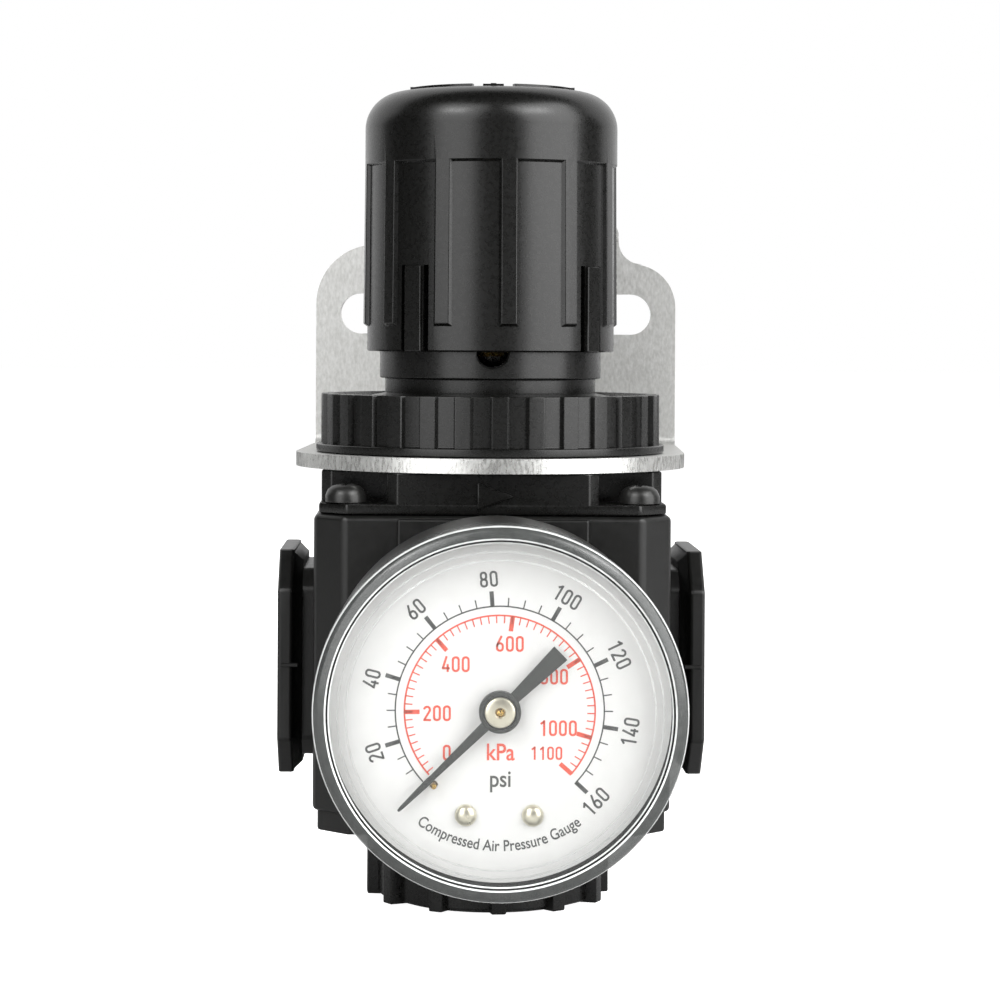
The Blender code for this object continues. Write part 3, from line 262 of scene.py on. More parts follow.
def clear_plastic():
    # Clear polycarbonate: seen through face on, mirroring the lights at a slant
    name = "clear_polycarbonate"
    if name in bpy.data.materials:
        return bpy.data.materials[name]
    made = surface(name, ("#D8DAD9", "#E2E4E3"), (0.04, 0.07), 6 * MM, IOR=1.58)
    tree = made.node_tree
    facing = add_node(tree, "ShaderNodeLayerWeight", inputs={"Blend": 0.35})
    cover = add_node(tree, "ShaderNodeMapRange", inputs={
        "Value": facing.outputs["Fresnel"], "From Min": 0.0, "From Max": 1.0, "To Min": 0.02, "To Max": 0.5})
    tree.links.new(cover.outputs["Result"], tree.nodes["Principled BSDF"].inputs["Alpha"])
    return made


def lens_wall():
    # The lens's side wall seen down its length: painted grey, standing in for the dark case seen through the
    # clear wall and for the lights reflected in it
    return surface("lens_side_wall", ("#3F4140", "#4F5150"), (0.18, 0.26), 0.7 * MM, IOR=1.55, Alpha=0.8)


def lens_lit_edge():
    # The lens's polished corners: painted highlights, pale rings that stand in for the light these corners
    # gather into thin bright rings
    return surface("lens_lit_edge", ("#C6C8C7", "#E4E6E5"), (0.12, 0.20), 1.2 * MM, IOR=1.58, Alpha=0.92)


def lens_groove():
    # The groove inside the rim, where the dark case shows through
    return surface("lens_groove", ("#2E2F2E", "#444544"), (0.30, 0.40), 1.5 * MM, Alpha=0.8)


def lens_step():
    # The shallow steps of the lens's face: painted shade, faint grey rings over the dial that stand in for
    # the light the steps bend away
    return surface("lens_step", ("#A6A8A7", "#BCBEBD"), (0.12, 0.16), 3 * MM, IOR=1.58, Alpha=0.28)


# Shapes

def object_of(name, mesh):
    made = bpy.data.objects.new(name, mesh)
    bpy.context.scene.collection.objects.link(made)
    return made


def from_bmesh(name, shape, place=None):
    if place is not None:
        bmesh.ops.transform(shape, matrix=place, verts=shape.verts)
    mesh = bpy.data.meshes.new(name)
    shape.to_mesh(mesh)
    shape.free()
    return object_of(name, mesh)


def baked(obj, place=None):
    """The object as its modifiers or its curve make it, as a plain mesh in the given place."""
    bpy.context.view_layer.update()
    graph = bpy.context.evaluated_depsgraph_get()
    mesh = bpy.data.meshes.new_from_object(obj.evaluated_get(graph))
    name = obj.name
    bpy.data.objects.remove(obj, do_unlink=True)
    shape = bmesh.new()
    shape.from_mesh(mesh)
    bmesh.ops.remove_doubles(shape, verts=shape.verts, dist=1e-7)
    return from_bmesh(name, shape, place)


def block(name, low, high, place=None):
    low, high = Vector(low), Vector(high)
    shape = bmesh.new()
    bmesh.ops.create_cube(shape, size=1.0)
    bmesh.ops.scale(shape, vec=high - low, verts=shape.verts)
    bmesh.ops.translate(shape, vec=(low + high) / 2, verts=shape.verts)
    return from_bmesh(name, shape, place)


def in_mm(points, base=0.0):
    """Points given in millimetres, as metres, with their heights counted from a base."""
    return [(x * MM, base + y * MM) for x, y in points]


def turned(name, profile, place=None, sides=128):
    """A profile of (radius, height) points, down its outer side and up its inner one, turned about Z."""
    mesh = bpy.data.meshes.new(name)
    edges = [(i, i + 1) for i in range(len(profile) - 1)]
    if profile[0][0] or profile[-1][0]:
        edges.append((len(profile) - 1, 0))
    mesh.from_pydata([(radius, 0, height) for radius, height in profile], edges, [])
    obj = object_of(name, mesh)
    screw = obj.modifiers.new("turn", "SCREW")
    screw.steps = screw.render_steps = sides
    screw.use_merge_vertices = True
    screw.merge_threshold = 1e-6
    return baked(obj, place)


def rod(name, radius, top, bottom, place=None, sides=24):
    """A plain cylinder about Z, used mostly to bore a hole."""
    return turned(name, [(0, top), (radius, top), (radius, bottom), (0, bottom)], place, sides)


def rounded(profile, radius, steps=3):
    """The profile with each corner between two sides long enough rounded to the radius."""
    out = []
    count = len(profile)
    for i, (x, y) in enumerate(profile):
        here = Vector((x, y))
        before = Vector(profile[i - 1]) - here
        after = Vector(profile[(i + 1) % count]) - here
        if x == 0 or before.length < 2.2 * radius or after.length < 2.2 * radius:
            out.append((x, y))
            continue
        half = before.angle(after) / 2
        reach = min(radius / math.tan(half), before.length * 0.45, after.length * 0.45)
        start, end = here + before.normalized() * reach, here + after.normalized() * reach
        for k in range(steps + 1):
            t = k / steps
            point = start * (1 - t) ** 2 + here * 2 * t * (1 - t) + end * t ** 2
            out.append((point.x, point.y))
    return out


def prism(name, outline, low, high, holes=(), place=None, taper=1.0):
    """A flat outline, with its holes, from one height to another; taper shrinks the high end."""
    curve = bpy.data.curves.new(name, "CURVE")
    curve.dimensions = "2D"
    curve.fill_mode = "BOTH"
    curve.extrude = (high - low) / 2
    for loop in (outline, *holes):
        spline = curve.splines.new("POLY")
        spline.points.add(len(loop) - 1)
        for point, (x, y) in zip(spline.points, loop):
            point.co = (x, y, 0, 1)
        spline.use_cyclic_u = True
    made = baked(object_of(name, curve), Matrix.Translation((0, 0, (low + high) / 2)))
    middle = (low + high) / 2
    for vertex in made.data.vertices:
        if vertex.co.z > middle:
            vertex.co.x *= taper
            vertex.co.y *= taper
    if place is not None:
        made.data.transform(place)
    return made


def softened(obj, width, segments=2, angle=30):
    """The shape with its edges rounded."""
    bevel = obj.modifiers.new("round", "BEVEL")
    bevel.width = width
    bevel.segments = segments
    bevel.limit_method = "ANGLE"
    bevel.angle_limit = math.radians(angle)
    return baked(obj)


def carved(base, joined=(), removed=()):
    """The base with shapes joined to it, and then others taken away."""
    for operation, others in (("UNION", joined), ("DIFFERENCE", removed)):
        for other in others:
            modifier = base.modifiers.new(operation, "BOOLEAN")
            modifier.operation = operation
            modifier.object = other
    made = baked(base)
    for other in (*joined, *removed):
        bpy.data.objects.remove(other, do_unlink=True)
    return made


def arc(centre, radius, start, end, steps):
    angles = [math.radians(start + (end - start) * i / steps) for i in range(steps + 1)]
    return [(centre[0] + radius * math.cos(a), centre[1] + radius * math.sin(a)) for a in angles]


def circle(radius, sides=96, centre=(0, 0)):
    return arc(centre, radius, 0, 360, sides)[:-1]


def chamfered(wide, high, chamfer):
    x, y = wide / 2, high / 2
    return [(x, y - chamfer), (x - chamfer, y), (chamfer - x, y), (-x, y - chamfer),
            (-x, chamfer - y), (chamfer - x, -y), (x - chamfer, -y), (x, chamfer - y)]


def ring_tree():
    """Geometry nodes that set copies of a template round a circle, each turned to face outwards."""
    name = "Ring of copies"
    if name in bpy.data.node_groups:
        return bpy.data.node_groups[name]
    tree = bpy.data.node_groups.new(name, "GeometryNodeTree")
    for label, kind in (("Template", "Object"), ("Count", "Int"), ("Radius", "Float"), ("Start", "Float"),
                        ("Step", "Float"), ("Finish", "Material")):
        tree.interface.new_socket(label, in_out="INPUT", socket_type="NodeSocket" + kind)
    tree.interface.new_socket("Copies", in_out="OUTPUT", socket_type="NodeSocketGeometry")
    given = add_node(tree, "NodeGroupInput").outputs
    index = add_node(tree, "GeometryNodeInputIndex")
    angle = add_node(tree, "ShaderNodeMath", {"operation": "MULTIPLY_ADD"},
                     {0: index.outputs["Index"], 1: given["Step"], 2: given["Start"]}).outputs[0]
    spots = []
    for turn in ("COSINE", "SINE"):
        part = add_node(tree, "ShaderNodeMath", {"operation": turn}, {0: angle})
        spots.append(add_node(tree, "ShaderNodeMath", {"operation": "MULTIPLY"},
                              {0: part.outputs[0], 1: given["Radius"]}).outputs[0])
    place = add_node(tree, "ShaderNodeCombineXYZ", inputs={"X": spots[0], "Y": spots[1]})
    points = add_node(tree, "GeometryNodePoints",
                      inputs={"Count": given["Count"], "Position": place.outputs[0]})
    turn = add_node(tree, "FunctionNodeAxisAngleToRotation", inputs={"Axis": (0, 0, 1), "Angle": angle})
    source = add_node(tree, "GeometryNodeObjectInfo", inputs={"Object": given["Template"]})
    copies = add_node(tree, "GeometryNodeInstanceOnPoints", inputs={
        "Points": points.outputs[0], "Instance": source.outputs["Geometry"], "Rotation": turn.outputs[0]})
    real = add_node(tree, "GeometryNodeRealizeInstances", inputs={"Geometry": copies.outputs[0]})
    finish = add_node(tree, "GeometryNodeSetMaterial",
                      inputs={"Geometry": real.outputs[0], "Material": given["Finish"]})
    add_node(tree, "NodeGroupOutput", inputs={"Copies": finish.outputs[0]})
    return tree


def ring_of(name, template, count, finish, radius=0.0, start=0.0, step=None, place=None):
    """Copies of a template round Z, as one plain mesh."""
    obj = object_of(name, bpy.data.meshes.new(name))
    modifier = obj.modifiers.new("ring", "NODES")
    values = {"Template": template, "Count": count, "Radius": radius, "Start": start,
              "Step": TAU / count if step is None else step, "Finish": finish}
    tree = ring_tree()
    modifier.node_group = tree
    for item in tree.interface.items_tree:
        if item.in_out == "INPUT":
            modifier[item.identifier] = values[item.name]
    made = baked(obj, place)
    bpy.data.objects.remove(template, do_unlink=True)
    return made


def finished(obj, name, body, finishes, stands_for=(), angle=32):
    """Gives a shape its finishes and shading, hangs it under its body's empty and hides the frame's parts
    that it stands for.
    """
    obj.name = obj.data.name = name
    obj.data.materials.clear()
    for finish in finishes:
        obj.data.materials.append(finish)
    obj.data.shade_smooth()
    obj.data.set_sharp_from_angle(angle=math.radians(angle))
    flat = obj.modifiers.new("flat", "WEIGHTED_NORMAL")
    flat.keep_sharp = True
    bpy.context.view_layer.update()
    old = obj.data
    obj.data = bpy.data.meshes.new_from_object(obj.evaluated_get(bpy.context.evaluated_depsgraph_get()))
    obj.modifiers.clear()
    bpy.data.meshes.remove(old)
    obj.data.name = name
    if body:
        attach(obj, body)
    if stands_for:
        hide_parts(*stands_for)
    return obj


def merged(name, shapes):
    """Separate shapes as the parts of one mesh."""
    whole = bmesh.new()
    for shape in shapes:
        whole.from_mesh(shape.data)
        bpy.data.objects.remove(shape, do_unlink=True)
    return from_bmesh(name, whole)


def ridges(radius, root, top, pitch, count):
    """A thread's profile down one side: crests at the radius, roots half a pitch below each."""
    points = []
    for i in range(count):
        height = top - i * pitch
        points += [(radius, height), (root, height - pitch / 2)]
    return points


def screw_places():
    """The four corners where the bonnet's screws stand."""
    sides = (-SCREW_OUT, SCREW_OUT)
    return [Matrix.Translation((x, y, 0)) for x in sides for y in sides]


# Body and bottom cap

def thread_cutter(name, radius, start, end, place, pitch=PIPE_PITCH, depth=0.55 * MM):
    """A bore with a thread's ridges left in its wall, and a chamfered mouth at the end."""
    outer = ridges(radius, radius - depth, end - 1.0 * MM, pitch, int((end - start - 1.2 * MM) / pitch))
    profile = [(0, end + 1 * MM), (radius + 1.0 * MM, end + 1 * MM), (radius + 1.0 * MM, end), *outer,
               (radius - depth, start), (0, start)]
    return turned(name, profile, place, 64)


class REGULATOR_OT_body(bpy.types.Operator):
    """Cast body with its port flanges, gauge pads and threaded ports"""

    bl_idname = "regulator.body"
    bl_label = "Body casting"

    def execute(self, context):
        sizes = context.scene.regulator_sizes
        side, foot_side, chamfer = 43.8 * MM, 42.6 * MM, 3.7 * MM
        low, top = BODY_LOW.z + 2.5 * MM, BODY_HIGH.z
        pad_half, front_proud, rear_proud = 11.65 * MM, 0.35 * MM, 0.05 * MM
        piece = softened(prism("main", chamfered(side, side, chamfer), low, top), sizes.cast_edge, 4)
        foot = softened(prism("foot", chamfered(foot_side, foot_side, chamfer), BODY_LOW.z, low + 1.5 * MM),
                        0.35 * MM, 2)
        joined = [foot]
        for turn in (0, math.pi):
            about = Matrix.Rotation(turn, 4, "Z")
            proud = rear_proud if turn else front_proud
            joined.append(softened(block("pad", (-pad_half, -side / 2 - proud, low + 1.0 * MM),
                                         (pad_half, -side / 2 + 2 * MM, top - 0.35 * MM), about), 0.33 * MM,
                                         3))
            place = about @ Matrix.Translation((0, 0, PORT_Z)) @ ALONG_X
            joined += self.flange(place)
        face = BODY_HIGH.x
        removed = []
        for turn in (0, math.pi):
            place = Matrix.Translation((0, 0, PORT_Z)) @ Matrix.Rotation(turn, 4, "Z") @ ALONG_X
            removed.append(thread_cutter("port", 6.5 * MM, 14 * MM, face, place))
            turn_y = Matrix.Translation((0, 0, PORT_Z)) @ Matrix.Rotation(turn + math.pi, 4, "Z") @ FRONT_VIEW
            removed.append(turned("gauge_port", in_mm([(0, 24), (5.4, 24), (4.85, 21.2),
                                                 (4.85, 12), (0, 12)]), turn_y, 64))
        removed.append(turned("top_recess", [*in_mm([(0, 1), (17.5, 1)], top), *in_mm([
            (17.5, 48.8), (15.5, 48.8), (15.5, 44), (9.5, 44), (9.5, 32.5), (4, 32.5), (4, 29), (9.5, 29),
            (9.5, 19.5), (12.1, 19.5), (12.1, 10), (0, 10)])]))
        removed += [rod("screw_bore", 1.6 * MM, top + 1 * MM, 39 * MM, place) for place in screw_places()]
        piece = carved(piece, joined, removed)
        finished(piece, "body_casting", "housing", [powder_coat()], ["body"])
        return {"FINISHED"}

    def flange(self, place):
        """A port flange: its rim, the slope behind the rim and the square neck."""
        face, rim = BODY_HIGH.x, 1.9 * MM
        outline = chamfered(28 * MM, 28 * MM, 4.7 * MM)
        turned_over = place @ Matrix.Rotation(math.pi, 4, "X")
        neck = prism("neck", chamfered(23.4 * MM, 23.4 * MM, 2.4 * MM), 20.9 * MM, face - rim + 0.4 * MM,
                     place=place)
        slope = prism("slope", outline, -(face - rim) - 0.4 * MM, -(face - rim - 1.1 * MM), taper=0.9,
                      place=turned_over)
        plate = softened(prism("rim", outline, face - rim, face, place=place), 0.4 * MM, 3)
        rib = softened(block("parting", (-0.25 * MM, -14.15 * MM, face - 2.6 * MM),
                             (0.25 * MM, 14.15 * MM, face - 0.4 * MM),
                             place @ Matrix.Rotation(math.radians(90), 4, "Z")), 0.1 * MM, 1)
        return [softened(neck, 0.5 * MM, 2), slope, plate, rib]


class REGULATOR_OT_bottom_cap(bpy.types.Operator):
    """Ribbed cap that closes the body's bottom and guides the valve"""

    bl_idname = "regulator.bottom_cap"
    bl_label = "Bottom cap"

    def execute(self, context):
        sizes = context.scene.regulator_sizes
        low, top, neck_top = CAP_LOW.z, 11.0 * MM, CAP_HIGH.z
        radius = 14.2 * MM
        profile = [*in_mm([(0, 5), (3.4, 5), (3.4, 15), (4.4, 15), (4.4, 3), (9.5, 3)]),
                   (9.5 * MM, neck_top), (11.9 * MM, neck_top),
                   *in_mm([(11.9, 14.4), (10.6, 14.4), (10.6, 12.6), (11.9, 12.6)]), (11.9 * MM, top),
                   (radius, top), (radius, low + 0.9 * MM), (radius - 0.15 * MM, low + 0.72 * MM),
                   *in_mm([(11.9, 0.04), (11.7, 0), (11.0, 0), (10.6, 0.5), (0, 0.5)], low)]
        piece = turned("cap", profile, sides=120)
        outline = [(radius - 1.5 * MM, -1.3 * MM), (15.5 * MM, -0.9 * MM), (15.5 * MM, 0.9 * MM),
                   (radius - 1.5 * MM, 1.3 * MM)]
        rib = softened(prism("rib", outline, low + 0.45 * MM, top - 0.6 * MM), sizes.edge, 2)
        ribs = ring_of("ribs", rib, sizes.cap_ribs, acetal(), start=math.radians(-86))
        finished(carved(piece, [ribs]), "bottom_cap_moulding", "housing", [acetal()],
                 ["bottom_cap"])
        return {"FINISHED"}


# Bonnet, its screws, the bracket and the panel nut

class REGULATOR_OT_bonnet(bpy.types.Operator):
    """Bonnet with its flange, corner pockets, collar, vent and flow arrow"""

    bl_idname = "regulator.bonnet"
    bl_label = "Bonnet"

    def execute(self, context):
        edge = context.scene.regulator_sizes.edge
        low, plate_top, arm_top = BONNET_LOW.z, 51.4 * MM, 55.1 * MM
        half, arm = 21.2 * MM, 12.9 * MM
        plate = softened(prism("plate", chamfered(42.6 * MM, 42.6 * MM, 3.4 * MM), low, plate_top), 0.3 * MM,
                         2)
        slant = 1.2 * MM
        across = [(half, -arm + slant), (half, arm - slant), (half - slant, arm), (slant - half, arm),
                  (-half, arm - slant), (-half, -arm + slant), (slant - half, -arm), (half - slant, -arm)]
        along = [(y, x) for x, y in reversed(across)]
        thread = ridges(16.3 * MM, 15.6 * MM, 63.4 * MM, 1.5 * MM, 5)
        collar = rounded(in_mm([(0, 81), (12.4, 81), (12.4, 77.3), (14.2, 77.3),
                          (14.2, 76.3), (13.6, 76.3), (13.6, 71.6), (14.2, 71.6),
                          (14.2, 66.5), (13.5, 66.5), (13.5, 64.2)]), 0.22 * MM)
        collar += [(15.6 * MM, 64.2 * MM), *thread, (16.3 * MM, 55.4 * MM), (16.3 * MM, 51 * MM),
                   (0, 51 * MM)]
        collar = [point for i, point in enumerate(collar) if i == 0 or point != collar[i - 1]]
        tower = turned("tower", collar)
        arrow = softened(prism("arrow", in_mm([(-1.9, 50.75), (2.5, 52.4), (-1.9, 54.05)]),
                               half - 0.4 * MM, half + 0.42 * MM, place=FRONT_VIEW), 0.17 * MM, 2)
        joined = [softened(prism("arm", shape, plate_top - 0.7 * MM, arm_top), edge, 2) for shape in (across,
                                                                                                      along)]
        joined += [tower, arrow]
        spline = prism("spline", in_mm([(12, -1.6), (13.2, -1.1), (13.2, 1.1), (12, 1.6)]),
                       78 * MM, 80.8 * MM)
        joined.append(ring_of("splines", spline, 12, acetal()))
        room = turned("room", in_mm([(0, 82), (4.25, 82), (4.25, 78.8), (11.6, 78.8),
                               (11.6, 56.6), (14.8, 53.4), (14.8, 49), (0, 49)]))
        vent = turned("vent", in_mm([(0, 16), (2.25, 16), (2.25, 14.1), (2, 13.9), (2, 10), (0, 10)]),
                      Matrix.Translation((0, 0, 70 * MM)) @ FRONT_VIEW, 48)
        removed = [room, vent]
        removed += [rod("way", 1.7 * MM, 52 * MM, 49 * MM, place) for place in screw_places()]
        piece = carved(plate, joined, removed)
        finished(piece, "bonnet_moulding", "housing", [acetal()], ["bonnet"])
        return {"FINISHED"}


class REGULATOR_OT_bonnet_screws(bpy.types.Operator):
    """Four pan-head screws that hold the bonnet down"""

    bl_idname = "regulator.bonnet_screws"
    bl_label = "Bonnet screws"

    def execute(self, context):
        under = 51.5 * MM
        dome = in_mm([(0, 2.2), (1.0, 2.15), (1.7, 1.95), (2.2, 1.5), (2.5, 0.8), (2.5, 0), (1.4, 0)], under)
        thread = ridges(1.4 * MM, 1.15 * MM, under - 1.0 * MM, 0.5 * MM, 16)
        screw = turned("screw", [*dome, *thread, (1.1 * MM, 41 * MM), (0, 40.6 * MM)], sides=40)
        slots = [block("slot", (-1.35 * MM, -0.33 * MM, under + 0.9 * MM),
                       (1.35 * MM, 0.33 * MM, under + 3 * MM),
                       Matrix.Rotation(math.radians(degrees), 4, "Z")) for degrees in (35, 125)]
        screw = carved(screw, removed=slots)
        ring = ring_of("screws", screw, 4, black_fastener(), radius=math.hypot(SCREW_OUT, SCREW_OUT),
                       start=TAU / 8)
        finished(ring, "bonnet_screw_set", "housing", [black_fastener()],
                 [f"bonnet_screw_{number}" for number in range(1, 5)])
        return {"FINISHED"}


class REGULATOR_OT_bracket(bpy.types.Operator):
    """Zinc-plated L bracket with two mounting slots"""

    bl_idname = "regulator.bracket"
    bl_label = "Bracket"

    def execute(self, context):
        thick, bend = 1.8 * MM, 3.0 * MM
        low, back, front = BRACKET_LOW.z, 32.6 * MM, -23.6 * MM
        half, top = 25.0 * MM, BRACKET_HIGH.z
        section = [(front - 2 * MM, low), *arc((back - bend, low + bend), bend, -90, 0, 12),
                   (back, top + 2 * MM),
                   (back - thick, top + 2 * MM), *arc((back - bend, low + bend), bend - thick, 0, -90, 8),
                   (front - 2 * MM, low + thick)]
        sheet = prism("sheet", section, -half - 1 * MM, half + 1 * MM, place=ALONG_X)
        above = [*arc((0, front + half), half, 180, 360, 72), (half, back + 2 * MM), (-half, back + 2 * MM)]
        corner, shoulder, step = 8.3 * MM, 6.0 * MM, 82.0 * MM
        fillet, tab, left_top = 3.2 * MM, 17.1 * MM, 84.6 * MM
        behind = [(-half, low - 2 * MM), (half, low - 2 * MM),
                  *arc((half - shoulder, step - shoulder), shoulder, 0, 90, 16),
                  *arc((tab + fillet, step + fillet), fillet, 270, 180, 10),
                  *arc((tab - 2 * MM, top - 2 * MM), 2 * MM, 0, 90, 8),
                  *arc((-12 * MM, top - 2 * MM), 2 * MM, 90, 180, 8), (-14 * MM, left_top),
                  *arc((corner - half, left_top - corner), corner, 90, 180, 20)]
        for name, outline, span, place in (("above", above, (low - 1 * MM, top + 1 * MM), None),
                                           ("behind", behind, (-back - 1 * MM, 30 * MM), FRONT_VIEW)):
            cutter = prism(name, outline, *span, place=place)
            trim = sheet.modifiers.new(name, "BOOLEAN")
            trim.operation = "INTERSECT"
            trim.object = cutter
            sheet = baked(sheet)
            bpy.data.objects.remove(cutter, do_unlink=True)
        removed = [prism("hole", circle(16.7 * MM, 96), low - 1 * MM, low + thick + 1 * MM)]
        end = 2.8 * MM
        for side in (-1, 1):
            left, right = sorted((side * (6.2 * MM + end), side * (21.6 * MM - end)))
            slot = [*arc((right, 75 * MM), end, -90, 90, 16), *arc((left, 75 * MM), end, 90, 270, 16)]
            removed.append(prism("slot", slot, -back - 1 * MM, -back + thick + 1 * MM, place=FRONT_VIEW))
        piece = softened(carved(sheet, removed=removed), 0.12 * MM, 2, 40)
        finished(piece, "bracket_plate", "housing", [zinc_plate(), sheared_zinc()], ["bracket"])
        for face in piece.data.polygons:
            normal, centre = face.normal, face.center
            flat = abs(normal.z) > 0.8 and centre.z < low + 2 * thick
            upright = abs(normal.y) > 0.8 and centre.y > back - thick - bend
            near_bend = centre.y > back - bend - 0.1 * MM and centre.z < low + bend + 0.1 * MM
            bent = abs(normal.x) < 0.1 and near_bend
            face.material_index = 0 if flat or upright or bent else 1
        piece.data.transform(Matrix.Rotation(BRACKET_TURN, 4, "Z"))
        return {"FINISHED"}


class REGULATOR_OT_panel_nut(bpy.types.Operator):
    """Ribbed ring nut that clamps the bracket"""

    bl_idname = "regulator.panel_nut"
    bl_label = "Panel nut"

    def execute(self, context):
        sizes = context.scene.regulator_sizes
        low, top = NUT_LOW.z, NUT_HIGH.z
        rim, root, tip = low + 1.0 * MM, 21.05 * MM, 21.7 * MM
        profile = rounded([(19.8 * MM, top - 0.5 * MM), (20.1 * MM, top), (root, top), (root, rim),
                           (22.3 * MM, rim),
                           (22.3 * MM, low), (16.9 * MM, low), (16.5 * MM, low + 0.4 * MM),
                           (16.5 * MM, top - 0.9 * MM),
                           (16.9 * MM, top - 0.5 * MM)], 0.2 * MM)
        ring = turned("ring", profile, sides=150)
        outline = [(root - 0.5 * MM, -1.35 * MM), (tip, -1.02 * MM), (tip, 1.02 * MM),
                   (root - 0.5 * MM, 1.35 * MM)]
        rib = softened(prism("rib", outline, rim - 0.2 * MM, top - 0.02 * MM), 0.14 * MM, 2)
        ribs = ring_of("ribs", rib, sizes.nut_ribs, acetal(), start=math.radians(-88))
        finished(carved(ring, [ribs]), "panel_nut_ribbed", "housing", [acetal()],
                 ["panel_nut"])
        return {"FINISHED"}


# Knob

class REGULATOR_OT_knob(bpy.types.Operator):
    """Knob with its grip ribs, snap fingers and turning marks"""

    bl_idname = "regulator.knob"
    bl_label = "Knob"

    def execute(self, context):
        sizes = context.scene.regulator_sizes
        low, top = KNOB_LOW.z, 103.15 * MM
        band, wall, bore = 16.2 * MM, 15.75 * MM, 14.5 * MM
        band_low = 93.7 * MM
        bend = 4.75 * MM
        shoulder = [(band - bend + bend * math.sin(a), top - 0.05 * MM - bend + bend * math.cos(a))
                    for a in (math.radians(6 * k) for k in range(16))]
        profile = [(0, top), (8 * MM, top - 0.03 * MM), *shoulder, (band, band_low + 0.1 * MM),
                   (band - 0.1 * MM, band_low),
                   (wall, band_low - 0.25 * MM), (wall + 0.1 * MM, low + 0.2 * MM), (wall - 0.1 * MM, low),
                   (bore, low),
                   (bore, 81.3 * MM), (13.5 * MM, 81.3 * MM), (13.5 * MM, 97.5 * MM), (11 * MM, 100.3 * MM),
                   (0, 100.3 * MM)]
        piece = turned("knob", profile, sides=144)
        rib_low, rib_r = 72.7 * MM, 16.35 * MM
        rib = self.rib(wall, rib_r, rib_low, band_low, 1.55 * MM)
        ribs = ring_of("ribs", rib, sizes.knob_ribs, acetal(), start=math.radians(-90 + 6.9))
        socket = prism("socket", circle(6.5 * MM, 48), 85.6 * MM, 100.7 * MM)
        joined = [ribs, socket]
        removed = [prism("hex", circle(4.33 * MM, 6), 84 * MM, 96.4 * MM)]
        slot = block("slot", (bore - 1 * MM, -0.38 * MM, low - 1 * MM), (17 * MM, 0.38 * MM, 80.7 * MM))
        finger_half, finger_r = 1.75, 15.8
        step = 2 * math.asin(finger_half / finger_r)
        second = slot.copy()
        bpy.context.scene.collection.objects.link(second)
        for name, template, side in (("slots_a", slot, -0.5), ("slots_b", second, 0.5)):
            removed.append(ring_of(name, template, 4, acetal(), start=KNOB_SLOTS + side * step))
        strip = softened(block("strip", (bore + 0.7 * MM, -1.25 * MM, low + 0.03 * MM),
                               (16.25 * MM, 1.25 * MM, 80.6 * MM)), 0.15 * MM, 2)
        piece = carved(piece, joined, removed)
        strips = ring_of("strips", strip, 4, acetal(), start=KNOB_SLOTS)
        piece = carved(piece, [strips, *self.marks(top)])
        finished(piece, "knob_moulding", "knob", [acetal()], ["knob"])
        return {"FINISHED"}

    def rib(self, wall, outer, low, high, half):
        """One grip rib, with slanted sides and a slanted lower end."""
        outline = [(wall - 0.5 * MM, -half), (outer, -half + 0.6 * MM), (outer, half - 0.6 * MM),
                   (wall - 0.5 * MM, half)]
        rib = prism("rib", outline, low, high + 0.3 * MM)
        for vertex in rib.data.vertices:
            if vertex.co.z < (low + high) / 2 and vertex.co.x > wall:
                vertex.co.z += 0.7 * MM
            vertex.co.x -= 0.16 * MM * (vertex.co.z - low) / (high - low)
        return softened(rib, 0.12 * MM, 2)

    def marks(self, top):
        """Turning marks on the crown: two curved arrows, a plus and a minus."""
        low, high = top - 0.6 * MM, top + 0.32 * MM
        shapes = []
        inner, outer = 10.0 * MM, 11.0 * MM
        middle = (inner + outer) / 2
        for centre, sense in ((224, -1), (316, 1)):
            tail, neck, point = (centre + sense * degrees for degrees in (-32, 18, 32))
            band = arc((0, 0), outer, tail, neck, 20) + arc((0, 0), inner, neck, tail, 20)
            head = [arc((0, 0), radius, degrees, degrees, 1)[0] for radius, degrees in
                    ((inner - 0.7 * MM, neck), (outer + 0.6 * MM, neck), (middle, point))]
            shapes += [prism("arrow_band", band, low, high), prism("arrow_head", head, low, high)]
        for turn, bars in ((-90, (0, 90)), (90, (90,))):
            place = Matrix.Rotation(math.radians(turn), 4, "Z") @ Matrix.Translation((10.0 * MM, 0, 0))
            for degrees in bars:
                shapes.append(block("bar", (-1.3 * MM, -0.35 * MM, low), (1.3 * MM, 0.35 * MM, high),
                                    place @ Matrix.Rotation(math.radians(degrees), 4, "Z")))
        return shapes


# Gauge

